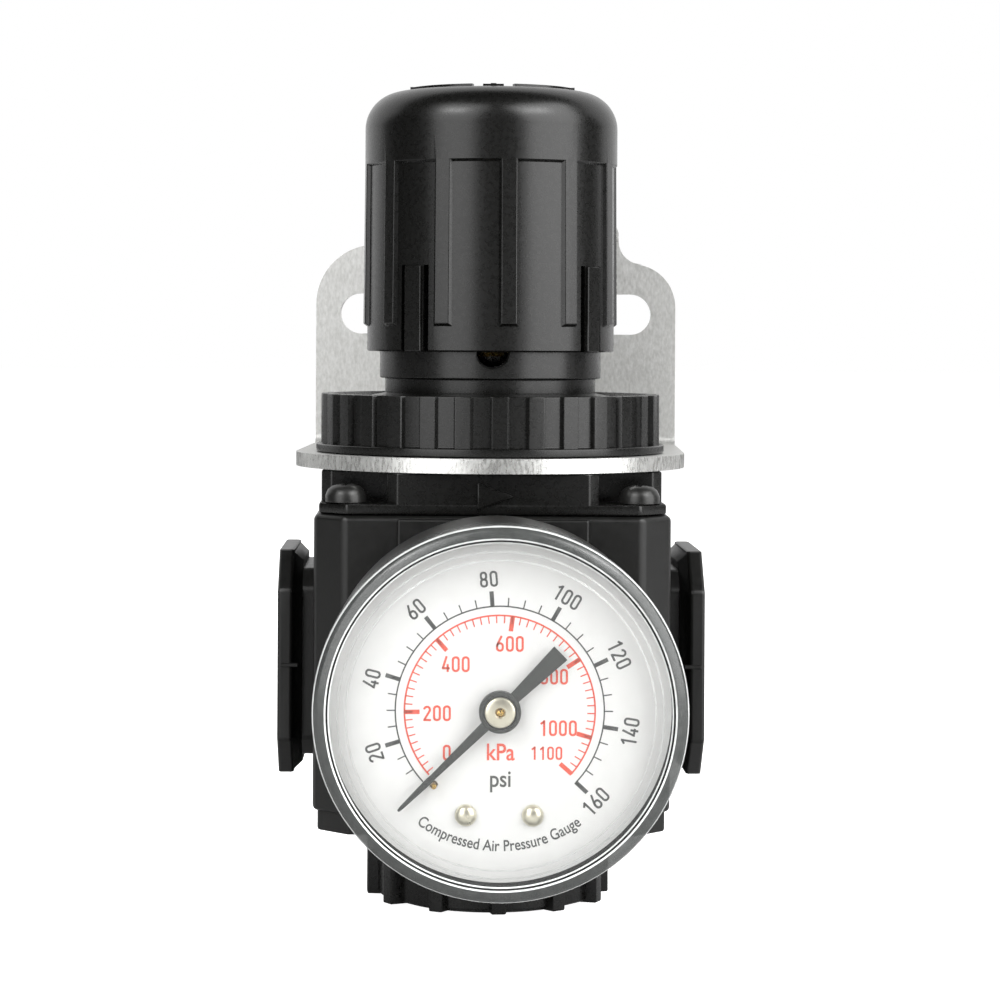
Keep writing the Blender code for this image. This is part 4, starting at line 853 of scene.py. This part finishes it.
class REGULATOR_OT_gauge_case(bpy.types.Operator):
    """Black case and clear lens of the gauge"""

    bl_idname = "regulator.gauge_case"
    bl_label = "Gauge case and lens"

    def execute(self, context):
        back, front = -CASE_HIGH.y, -CASE_LOW.y
        radius, wall, hole = 20.0 * MM, 1.7 * MM, 5.3 * MM
        lens_back, lens_front, lens_r = -LENS_HIGH.y, -LENS_LOW.y, LENS_HIGH.x
        spigot = lens_r - 1.25 * MM
        bend = [(radius - 1.5 * MM + 1.5 * MM * math.cos(a), back + 1.5 * MM - 1.5 * MM * math.sin(a))
                for a in (math.radians(15 * k) for k in range(7))]
        profile = [(17.9 * MM, front), (spigot, front), (spigot, lens_back - 0.15 * MM),
                   (radius, lens_back - 0.15 * MM),
                   (radius, lens_back - 0.6 * MM), (radius - 0.12 * MM, lens_back - 0.75 * MM), *bend,
                   (hole, back), (hole, back + wall), (radius - wall - 1 * MM, back + wall),
                   (radius - wall, back + wall + 1 * MM),
                   (radius - wall, front - 2 * MM)]
        finished(turned("case", profile, GAUGE), "gauge_case_shell", "housing", [case_abs()],
                 ["gauge_case"])
        inner = lens_r - 1.1 * MM
        front_profile = ((0, 0), (16.6, 0), (16.85, 0.16), (17.5, 0.16), (17.75, 0.34), (18.52, 0.36),
                         (18.66, 0.2),
                         (18.7, 0.7), (18.84, 0.7), (18.88, 0.12), (19.06, 0.03), (19.8, 0.2), (20.24, 0.6))
        face = [(r * MM, lens_front - depth * MM) for r, depth in front_profile]
        rim = [(lens_r, lens_front - 1.1 * MM), (lens_r, lens_back + 0.3 * MM),
               (lens_r - 0.15 * MM, lens_back), (inner, lens_back), (inner, lens_front - 1.9 * MM),
               (18.6 * MM, lens_front - 1.6 * MM)]
        lens = turned("lens", [*face, *rim, (0, lens_front - 1.5 * MM)], GAUGE)
        # After the clear finish come the painted ones: the wall's painted grey for the case seen through it
        # and the lights it reflects, painted highlights, the groove's dark ring and painted shade rings
        finishes = [clear_plastic(), lens_wall(), lens_lit_edge(), lens_groove(), lens_step()]
        finished(lens, "gauge_lens_moulding", "housing", finishes, ["gauge_lens"])
        to_gauge = GAUGE.inverted()
        for polygon in lens.data.polygons:
            centre = to_gauge @ polygon.center
            in_front = (to_gauge.to_3x3() @ polygon.normal).z > 0.2 and centre.z > lens_front - 1 * MM
            polygon.material_index = self.finish_at(math.hypot(centre.x, centre.y) / MM, in_front)
        return {"FINISHED"}

    def finish_at(self, radius, in_front):
        """The place in the list of finishes for a radius in millimetres."""
        # Front rings get painted highlights, the groove's dark ring and painted shade rings; the side wall
        # gets its painted reflection grey
        clear, wall, painted_highlight, groove, step = range(5)
        rings = ((20.24, 21, painted_highlight), (18.88, 19.06, painted_highlight), (18.7, 18.88, groove),
                 (18.52, 18.7, painted_highlight), (17.5, 17.75, step), (16.6, 16.85, step))
        if in_front:
            for inner, outer, finish in rings:
                if inner < radius < outer:
                    return finish
        return wall if radius > 18.6 else clear


class REGULATOR_OT_dial(bpy.types.Operator):
    """Dial plate with its two printed scales"""

    bl_idname = "regulator.dial"
    bl_label = "Dial and print"

    def execute(self, context):
        colours = context.scene.regulator_colours
        back = DIAL_FACE - 0.4 * MM
        holes = [circle(1.1 * MM, 48), *(circle(0.9 * MM, 32, at) for at in dial_screw_places()),
                 circle(0.45 * MM, 24, stop_place())]
        dial = prism("dial", circle(18.75 * MM, 160), back, DIAL_FACE, holes, GAUGE)
        finished(dial, "dial_enamelled", "housing", [dial_enamel()], ["dial_plate"])
        black, red = ink("black_ink", colours.black_ink), ink("red_ink", colours.red_ink)
        finished(self.outer_scale(context, black), "dial_print_black", "housing", [black])
        finished(self.inner_scale(red), "dial_print_red", "housing", [red])
        return {"FINISHED"}

    def layer(self):
        """The heights between which the ink lies on the dial."""
        return DIAL_FACE + 0.01 * MM, DIAL_FACE + 0.03 * MM

    def band(self, radius, width, start, end):
        steps = 96
        outline = arc((0, 0), radius + width / 2, start, end, steps) + arc((0, 0), radius - width / 2, end,
                                                                           start, steps)
        return prism("band", outline, *self.layer(), place=GAUGE)

    def ticks(self, count, inner, outer, width, start, step, finish):
        low, high = self.layer()
        bar = block("bar", (inner, -width / 2, low), (outer, width / 2, high))
        return ring_of("ticks", bar, count, finish, start=math.radians(start), step=math.radians(step),
                       place=GAUGE)

    def number(self, text, height, at, turn=0.0):
        """Digits of plain narrow strokes, their middle at a point on the dial."""
        wide, gap, shapes = 0.5, 0.13, []
        start = -(len(text) * (wide + gap) - gap) / 2
        for i, digit in enumerate(text):
            for loop, hole in digit_outlines(digit, wide):
                shapes.append(prism("stroke", loop, -0.01 * MM, 0.01 * MM, [hole] if hole else []))
                shapes[-1].data.transform(Matrix.Translation((start + i * (wide + gap), -0.5, 0)))
        made = merged("number", shapes)
        size = Matrix.Diagonal((height, height, 1, 1))
        middle = sum(self.layer()) / 2
        made.data.transform(GAUGE @ Matrix.Translation((*at, middle)) @ Matrix.Rotation(turn, 4, "Z") @ size)
        return made

    def letters(self, text, height, at, condense=0.86, bend=0.0):
        """Print of a given height, its middle at a point on the dial, or bent round the dial's lower edge."""
        curve = bpy.data.curves.new(text, "FONT")
        curve.body = text
        curve.extrude = 0.01 * MM
        curve.offset = 0.012
        curve.size = 1.0
        made = baked(object_of("print", curve))
        points = [vertex.co for vertex in made.data.vertices]
        low = Vector((min(p.x for p in points), min(p.y for p in points), 0))
        high = Vector((max(p.x for p in points), max(p.y for p in points), 0))
        scale = height / (high.y - low.y)
        shrink = Matrix.Diagonal((scale * condense, scale, 1, 1)) @ Matrix.Translation(-(low + high) / 2)
        middle = sum(self.layer()) / 2
        made.data.transform(shrink)
        for vertex in made.data.vertices if bend else ():
            angle, radius = vertex.co.x / bend - math.pi / 2, bend - vertex.co.y
            vertex.co.x, vertex.co.y = radius * math.cos(angle), radius * math.sin(angle)
        made.data.transform(GAUGE @ Matrix.Translation((*at, middle)))
        return made

    def outer_scale(self, context, finish):
        """The psi scale, 0 to 160, from 231.5 degrees clockwise; 1.715 degrees a unit."""
        height = context.scene.regulator_sizes.numeral
        radius, unit, twenty = 11.4 * MM, 1.715, 197.2
        shapes = [self.band(radius, 0.16 * MM, 223, -42.9),
                  self.ticks(31, radius, radius + 0.95 * MM, 0.14 * MM, twenty + 2 * 5 * unit, -5 * unit,
                             finish),
                  self.ticks(8, radius - 0.05 * MM, radius + 1.65 * MM, 0.46 * MM, twenty, -20 * unit,
                             finish)]
        places = {20: 198.8, 40: 166.2, 60: 130, 80: 95.1, 100: 59.6, 120: 25.5, 140: -9, 160: -43.2}
        for value, degrees in places.items():
            angle = math.radians(degrees)
            at = (14.4 * MM * math.cos(angle), 14.4 * MM * math.sin(angle))
            turn = angle - math.pi / 2 if value < 140 else angle + math.pi / 2
            shapes.append(self.number(str(value), height, at, turn))
        shapes.append(self.letters("psi", 2.3 * MM, (0.1 * MM, -7.75 * MM)))
        shapes.append(self.letters("Compressed Air Pressure Gauge", 1.62 * MM, (0, 0), 0.82, 14.9 * MM))
        return merged("print", shapes)

    def inner_scale(self, finish):
        """The kPa scale, 0 to 1100, 0.2465 degrees a unit."""
        radius, unit, zero = 10.4 * MM, 49.3 / 200, 230.3
        shapes = [self.band(radius, 0.18 * MM, 222.4, -41.4),
                  self.ticks(53, radius - 0.85 * MM, radius, 0.13 * MM, zero - 40 * unit, -20 * unit, finish),
                  self.ticks(5, radius - 1.65 * MM, radius + 0.05 * MM, 0.48 * MM, zero - 200 * unit,
                             -200 * unit, finish),
                  self.ticks(1, radius - 1.65 * MM, radius + 0.05 * MM, 0.48 * MM, -41, 1, finish)]
        labels = (("200", 1.72, -6.85, -0.3), ("400", 1.72, -4.83, 5.06), ("600", 1.72, 1.06, 7.3),
                  ("800", 1.72, 5.9, 3.75),
                  ("1000", 1.72, 6.35, -1.87), ("1100", 1.45, 5.1, -4.6), ("0", 1.72, -5.76, -4.6),
                  ("kPa", 1.85, 0.13, -4.5))
        for text, height, x, y in labels:
            draw = self.letters if text == "kPa" else self.number
            shapes.append(draw(text, height * MM, (x * MM, y * MM)))
        return merged("print", shapes)


def ribbon(points, thick):
    """The outline of a line of an even thickness through the points."""
    left, right = [], []
    for i, point in enumerate(points):
        before = Vector(points[max(i - 1, 0)])
        after = Vector(points[min(i + 1, len(points) - 1)])
        here = Vector(point)
        sides = [d.normalized() for d in (here - before, after - here) if d.length]
        along = sum(sides, Vector((0, 0))).normalized()
        out = Vector((-along.y, along.x)) * thick / 2 / max(along.dot(sides[0]), 0.5)
        left.append((here + out)[:])
        right.append((here - out)[:])
    return left + right[::-1]


def rounded_box(left, low, right, high, radius):
    corners = (((right - radius, low + radius), 270), ((right - radius, high - radius), 0),
               ((left + radius, high - radius), 90), ((left + radius, low + radius), 180))
    return [point for centre, start in corners for point in arc(centre, radius, start, start + 90, 6)]


def digit_outlines(digit, wide, thick=0.135):
    """The outlines of a digit one unit high, each with its hole or None."""
    mid, end = thick / 2, wide - thick / 2

    def loop(low, high, inset=0.0):
        radius = min(wide / 2 - inset, (high - low) / 2) * 0.92
        return (rounded_box(inset, low, wide - inset, high, radius),
                rounded_box(inset + thick, low + thick, wide - inset - thick, high - thick, radius * 0.5))

    def line(*points):
        return ribbon(points, thick), None

    return {
        "0": [loop(0, 1)],
        "1": [line((0.32, 0), (0.32, 1)), line((0.32, 0.93), (0.1, 0.76))],
        "2": [line(*arc((wide / 2, 0.72), wide / 2 - mid, 175, -25, 12), (mid + 0.02, mid + 0.02)),
              line((0.02, mid), (wide, mid))],
        "4": [line((0.3, 1), (mid, 0.24)), line((0, 0.24), (wide, 0.24)), line((0.37, 0.5), (0.37, 0))],
        "6": [loop(0, 0.6), line((mid, 0.34), (0.14, 0.56), (0.36, 1))],
        "8": [loop(0, 0.57), loop(0.435, 1, 0.02)],
    }[digit]


def dial_screw_places():
    return in_mm([(-3.65, -11.4), (3.65, -11.4)])


def stop_place():
    low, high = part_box("zero_stop_pin")
    middle = (low + high) / 2
    return (middle.x, middle.z - PORT_Z)


class REGULATOR_OT_dial_hardware(bpy.types.Operator):
    """Dial screws, zero stop and gauge socket"""

    bl_idname = "regulator.dial_hardware"
    bl_label = "Dial hardware"

    def execute(self, context):
        head = DIAL_FACE + 0.1 * MM
        dome = [(1.2 * MM * math.sin(a),
                 head + 0.8 * MM * math.cos(a)) for a in (math.radians(9 * k) for k in range(11))]
        for name, at in zip(("dial_screw_left", "dial_screw_right"), dial_screw_places()):
            profile = [*dome, (0.7 * MM, head), (0.7 * MM, 52.6 * MM), (0, 52.6 * MM)]
            place = GAUGE @ Matrix.Translation((*at, 0))
            finished(turned("screw", profile, place, 48), name + "_domed", "housing", [nickel()],
                     [name])
        pin = [*in_mm([(0, 1.6), (0.2, 1.6), (0.32, 1.45)], DIAL_FACE), *in_mm([(0.32, 56.3), (0, 56.3)])]
        finished(turned("pin", pin, GAUGE @ Matrix.Translation((*stop_place(), 0)), 32), "zero_stop",
                 "housing",
                 [brass()], ["zero_stop_pin"])
        self.socket()
        return {"FINISHED"}

    def socket(self):
        side, hex_end, block_back = 22.1 * MM, 30.5 * MM, 36.35 * MM
        thread = ridges(4.7 * MM, 4.1 * MM, 21.2 * MM, PIPE_PITCH, 6)
        neck = turned("neck", [(0, 37 * MM), (5 * MM, 37 * MM), (5 * MM, hex_end), (4.3 * MM, hex_end),
                               (4.3 * MM, side),
                               *thread, (4.1 * MM, 13 * MM), (0, 13 * MM)], GAUGE, 96)
        flats = softened(prism("hex", circle(11 * MM / math.sqrt(3), 6), side + 0.8 * MM, hex_end + 0.5 * MM,
                               place=GAUGE), 0.3 * MM, 2)
        root = softened(block("root", (-4 * MM, -16 * MM, block_back), (4 * MM, 6 * MM, 43.6 * MM), GAUGE),
                        0.2 * MM, 2)
        bore = rod("bore", 1.5 * MM, 40 * MM, 12 * MM, GAUGE, 32)
        ways = [rod("way", 0.75 * MM, 45 * MM, 40.5 * MM, GAUGE @ Matrix.Translation((x, y, 0)))
                for x, y in in_mm([(-2.4, -5.2), (2.4, 3.0)])]
        piece = carved(neck, [flats, root], [bore, *ways])
        finished(piece, "gauge_socket_turned", "housing", [brass()], ["gauge_socket"])


class REGULATOR_OT_pointer(bpy.types.Operator):
    """Pointer with its hub and boss"""

    bl_idname = "regulator.pointer"
    bl_label = "Pointer"

    def execute(self, context):
        low, high = DIAL_FACE + 1.0 * MM, DIAL_FACE + 1.3 * MM
        turn = GAUGE @ Matrix.Rotation(POINTER_REST, 4, "Z")
        half = [(-9.2, 1.02), (-2.0, 0.6), (2.0, 0.56), (10.2, 0.32), (10.6, 0.36), (11.2, 0.36), (14.9, 0.2),
                (15.45, 0.13)]
        outline = in_mm([(x, -y) for x, y in half] + half[::-1])
        needle = softened(prism("needle", outline, low, high, place=turn), 0.05 * MM, 1)
        hub = turned("hub", [*in_mm([(1.85, 0.5), (2.1, 0.52), (2.27, 0.4), (2.3, 0.2)], high),
                             *in_mm([(2.3, -0.3), (0.4, -0.3)], low),
                             *in_mm([(0.4, 0.06), (1.85, 0.06)], high)], GAUGE, 96)
        bore = rod("bore", 0.75 * MM, high + 1 * MM, low - 1 * MM, GAUGE, 32)
        finished(carved(needle, [hub], [bore]), "pointer_enamelled", "pointer",
                 [pointer_enamel()], ["pointer"])
        boss = turned("boss", in_mm([(0.45, 0.62), (0.6, 0.75), (1.3, 0.75), (1.62, 0.62), (1.72, 0.4),
                                     (1.72, 0.1), (0.45, 0.1)], high), GAUGE, 96)
        finished(boss, "pointer_boss_domed", "pointer", [nickel()], ["pointer_boss"])
        return {"FINISHED"}


class REGULATOR_OT_port_plug(bpy.types.Operator):
    """Plug in the rear gauge port"""

    bl_idname = "regulator.port_plug"
    bl_label = "Rear port plug"

    def execute(self, context):
        place = Matrix.Translation((0, 0, PORT_Z)) @ Matrix.Rotation(math.radians(-90), 4, "X")
        back = PLUG_HIGH.y
        head = rounded([(0, back), (7 * MM, back), (7 * MM, back - 1.4 * MM), (4.7 * MM, back - 1.4 * MM)],
                       0.35 * MM)
        plug = turned("plug", [*head, (4.7 * MM, 17.1 * MM), (3.5 * MM, 17.1 * MM), (3.5 * MM, 15.5 * MM),
                               (4.7 * MM, 15.5 * MM),
                               (4.7 * MM, 13 * MM), (0, 13 * MM)], place, 96)
        hexagon = prism("hex", circle(2.9 * MM, 6), back - 3.9 * MM, back + 1 * MM, place=place)
        finished(carved(plug, removed=[hexagon]), "rear_plug_moulding", "housing", [acetal()],
                 ["rear_port_plug"])
        return {"FINISHED"}


# Springs and the diaphragm

class REGULATOR_OT_springs(bpy.types.Operator):
    """Range spring and valve spring, coiled with flat end turns to fill their parts' boxes"""

    bl_idname = "regulator.springs"
    bl_label = "Springs"

    def execute(self, context):
        for node, wire_r, turns, joint, travel in (("range_spring", 1.0 * MM, 5, "nut_travel", 7.6 * MM),
                                                   ("valve_spring", 0.45 * MM, 7, "valve_travel", 1.25 * MM)):
            low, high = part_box(node)
            spring = self.coil(node, high.x - wire_r, wire_r, low.z, high.z, turns)
            finished(spring, node + "_drawn", "housing", [spring_steel()], [node])
            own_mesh(spring)
        return {"FINISHED"}

    def coil(self, name, radius, wire_r, low, high, turns, per_turn=32):
        """A compression spring whose end turns lie flat."""
        flat = 2 * wire_r + 0.05 * MM
        rise = (high - low - 2 * wire_r - 2 * flat) / (turns - 2)
        curve = bpy.data.curves.new(name, "CURVE")
        curve.dimensions = "3D"
        curve.bevel_depth = wire_r
        curve.bevel_resolution = 3
        curve.use_fill_caps = True
        spline = curve.splines.new("POLY")
        spline.points.add(turns * per_turn)
        for i, point in enumerate(spline.points):
            turn = i / per_turn
            flat_turns = min(turn, 1) + max(turn - turns + 1, 0)
            height = low + wire_r + flat * flat_turns + rise * min(max(turn - 1, 0), turns - 2)
            point.co = (radius * math.cos(TAU * turn), radius * math.sin(TAU * turn), height, 1)
        return baked(object_of(name, curve))


class REGULATOR_OT_diaphragm(bpy.types.Operator):
    """Rubber diaphragm, a flat sheet from its bore out to its rim"""

    bl_idname = "regulator.diaphragm"
    bl_label = "Diaphragm"

    def execute(self, context):
        low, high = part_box("diaphragm")
        outer, inner, plate, clamp = high.x, 2.85 * MM, 12.5 * MM, 15.5 * MM
        steps = 12
        free = [plate + (clamp - plate) * i / steps for i in range(steps + 1)]
        radii = [inner, *free, outer]
        profile = [(r, high.z) for r in reversed(radii)] + [(r, low.z) for r in radii]
        sheet = turned("sheet", profile[::-1])
        finished(sheet, "diaphragm_moulding", None, [rubber()], ["diaphragm"])
        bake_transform(sheet)
        return {"FINISHED"}


# Pieces that keep the frame's own shape

class REGULATOR_OT_inner_finishes(bpy.types.Operator):
    """Finishes for the inner pieces, whose shapes come from the frame"""

    bl_idname = "regulator.inner_finishes"
    bl_label = "Inner finishes"

    def execute(self, context):
        makers = {"brass": brass, "bronze": bronze, "nickel": nickel, "spring_steel": spring_steel,
                  "plated_steel": plated_steel, "black_rubber": rubber}
        slots = {entry["node"]: entry["material_slot"] for entry in frame["record"]["subparts"]}
        for name, obj in frame["nodes"].items():
            if obj.hide_render or slots[name] not in makers:
                continue
            obj.data.materials.clear()
            obj.data.materials.append(makers[slots[name]]())
        return {"FINISHED"}


# Stage

# Each soft box: its name, where it stands and its width and height in metres, and its watts
SOFT_BOXES = (
    ("left_box", (-0.51, -0.73, 0.52), (0.72, 1.2), 9.8),
    ("right_box", (0.76, -0.50, 0.52), (1.05, 1.2), 21.0),
    ("left_crown_box", (-0.44, -0.56, 0.63), (0.3, 0.2), 1.8),
    ("right_crown_box", (0.50, -0.50, 0.63), (0.36, 0.2), 2.0),
    ("rear_box", (0.0, 0.62, 0.45), (3.0, 0.95), 9.5),
)
LIGHTS_AIM = Vector((0, 0, 55 * MM))
CAMERA_AT = (-8.15 * MM, -375 * MM, 71.6 * MM)
CAMERA_LENS = 104.9
CAMERA_SHIFT = (0.073, -0.162)
CAMERA_ROLL = math.radians(0.3)


class REGULATOR_OT_stage(bpy.types.Operator):
    """White floor, soft boxes and the camera"""

    bl_idname = "regulator.stage"
    bl_label = "Stage"

    def execute(self, context):
        self.floor()
        self.world(context.scene)
        for name, at, size, power in SOFT_BOXES:
            self.soft_box(name, at, size, power)
        camera = bpy.data.cameras.new("camera")
        camera.lens = CAMERA_LENS
        camera.sensor_width = 36.0
        camera.clip_start = 0.01
        camera.shift_x, camera.shift_y = CAMERA_SHIFT
        stand = object_of("camera", camera)
        roll = Matrix.Rotation(CAMERA_ROLL, 4, "Z")
        stand.matrix_world = Matrix.Translation(CAMERA_AT) @ FRONT_VIEW @ roll
        context.scene.camera = stand
        context.scene.view_settings.view_transform = "Standard"
        return {"FINISHED"}

    def floor(self):
        shape = bmesh.new()
        bmesh.ops.create_grid(shape, x_segments=1, y_segments=1, size=6.0)
        floor = from_bmesh("floor", shape, Matrix.Translation((0, 0, -0.05 * MM)))
        made = bpy.data.materials.new("white_sweep")
        made.use_nodes = True
        principled = made.node_tree.nodes["Principled BSDF"]
        principled.inputs["Base Color"].default_value = linear("#C8C8C8")
        principled.inputs["Roughness"].default_value = 0.9
        principled.inputs["Specular IOR Level"].default_value = 0.0
        principled.inputs["Emission Color"].default_value = (1, 1, 1, 1)
        seen = add_node(made.node_tree, "ShaderNodeLightPath")
        made.node_tree.links.new(seen.outputs["Is Camera Ray"], principled.inputs["Emission Strength"])
        floor.data.materials.append(made)

    def world(self, scene):
        world = bpy.data.worlds.new("studio")
        world.use_nodes = True
        scene.world = world
        tree = world.node_tree
        background = tree.nodes["Background"]
        seen = add_node(tree, "ShaderNodeLightPath")
        level = add_node(tree, "ShaderNodeMapRange", inputs={
            "Value": seen.outputs["Is Camera Ray"], "From Min": 0.0, "From Max": 1.0, "To Min": 0.02,
            "To Max": 1.0})
        tree.links.new(level.outputs["Result"], background.inputs["Strength"])
        background.inputs["Color"].default_value = (1, 1, 1, 1)

    def soft_box(self, name, at, size, power):
        light = bpy.data.lights.new(name, "AREA")
        light.shape = "RECTANGLE"
        light.size, light.size_y = size
        light.energy = power
        box = object_of(name, light)
        direction = LIGHTS_AIM - Vector(at)
        box.matrix_world = Matrix.Translation(at) @ direction.to_track_quat("-Z", "Y").to_matrix().to_4x4()


class REGULATOR_PT_panel(bpy.types.Panel):
    """Buttons for the pieces and the stage"""

    bl_idname = "REGULATOR_PT_panel"
    bl_label = "Air Regulator"
    bl_space_type = "VIEW_3D"
    bl_region_type = "UI"
    bl_category = "Regulator"

    def draw(self, context):
        for group in (context.scene.regulator_sizes, context.scene.regulator_colours):
            for name in group.__annotations__:
                self.layout.prop(group, name)
        for operator in OPERATORS:
            self.layout.operator(operator.bl_idname)


OPERATORS = (
    REGULATOR_OT_body, REGULATOR_OT_bottom_cap, REGULATOR_OT_bonnet, REGULATOR_OT_bonnet_screws,
    REGULATOR_OT_bracket, REGULATOR_OT_panel_nut, REGULATOR_OT_knob, REGULATOR_OT_gauge_case,
    REGULATOR_OT_dial, REGULATOR_OT_dial_hardware, REGULATOR_OT_pointer, REGULATOR_OT_port_plug,
    REGULATOR_OT_springs, REGULATOR_OT_diaphragm, REGULATOR_OT_inner_finishes, REGULATOR_OT_stage,
)
CLASSES = (RegulatorSizes, RegulatorColours, *OPERATORS, REGULATOR_PT_panel)


def register():
    for made in CLASSES:
        bpy.utils.register_class(made)
    bpy.types.Scene.regulator_sizes = PointerProperty(type=RegulatorSizes)
    bpy.types.Scene.regulator_colours = PointerProperty(type=RegulatorColours)


def unregister():
    del bpy.types.Scene.regulator_colours
    del bpy.types.Scene.regulator_sizes
    for made in reversed(CLASSES):
        bpy.utils.unregister_class(made)


def main():
    register()
    for operator in OPERATORS:
        group, name = operator.bl_idname.split(".")
        getattr(getattr(bpy.ops, group), name)()


if __name__ == "__main__":
    main()
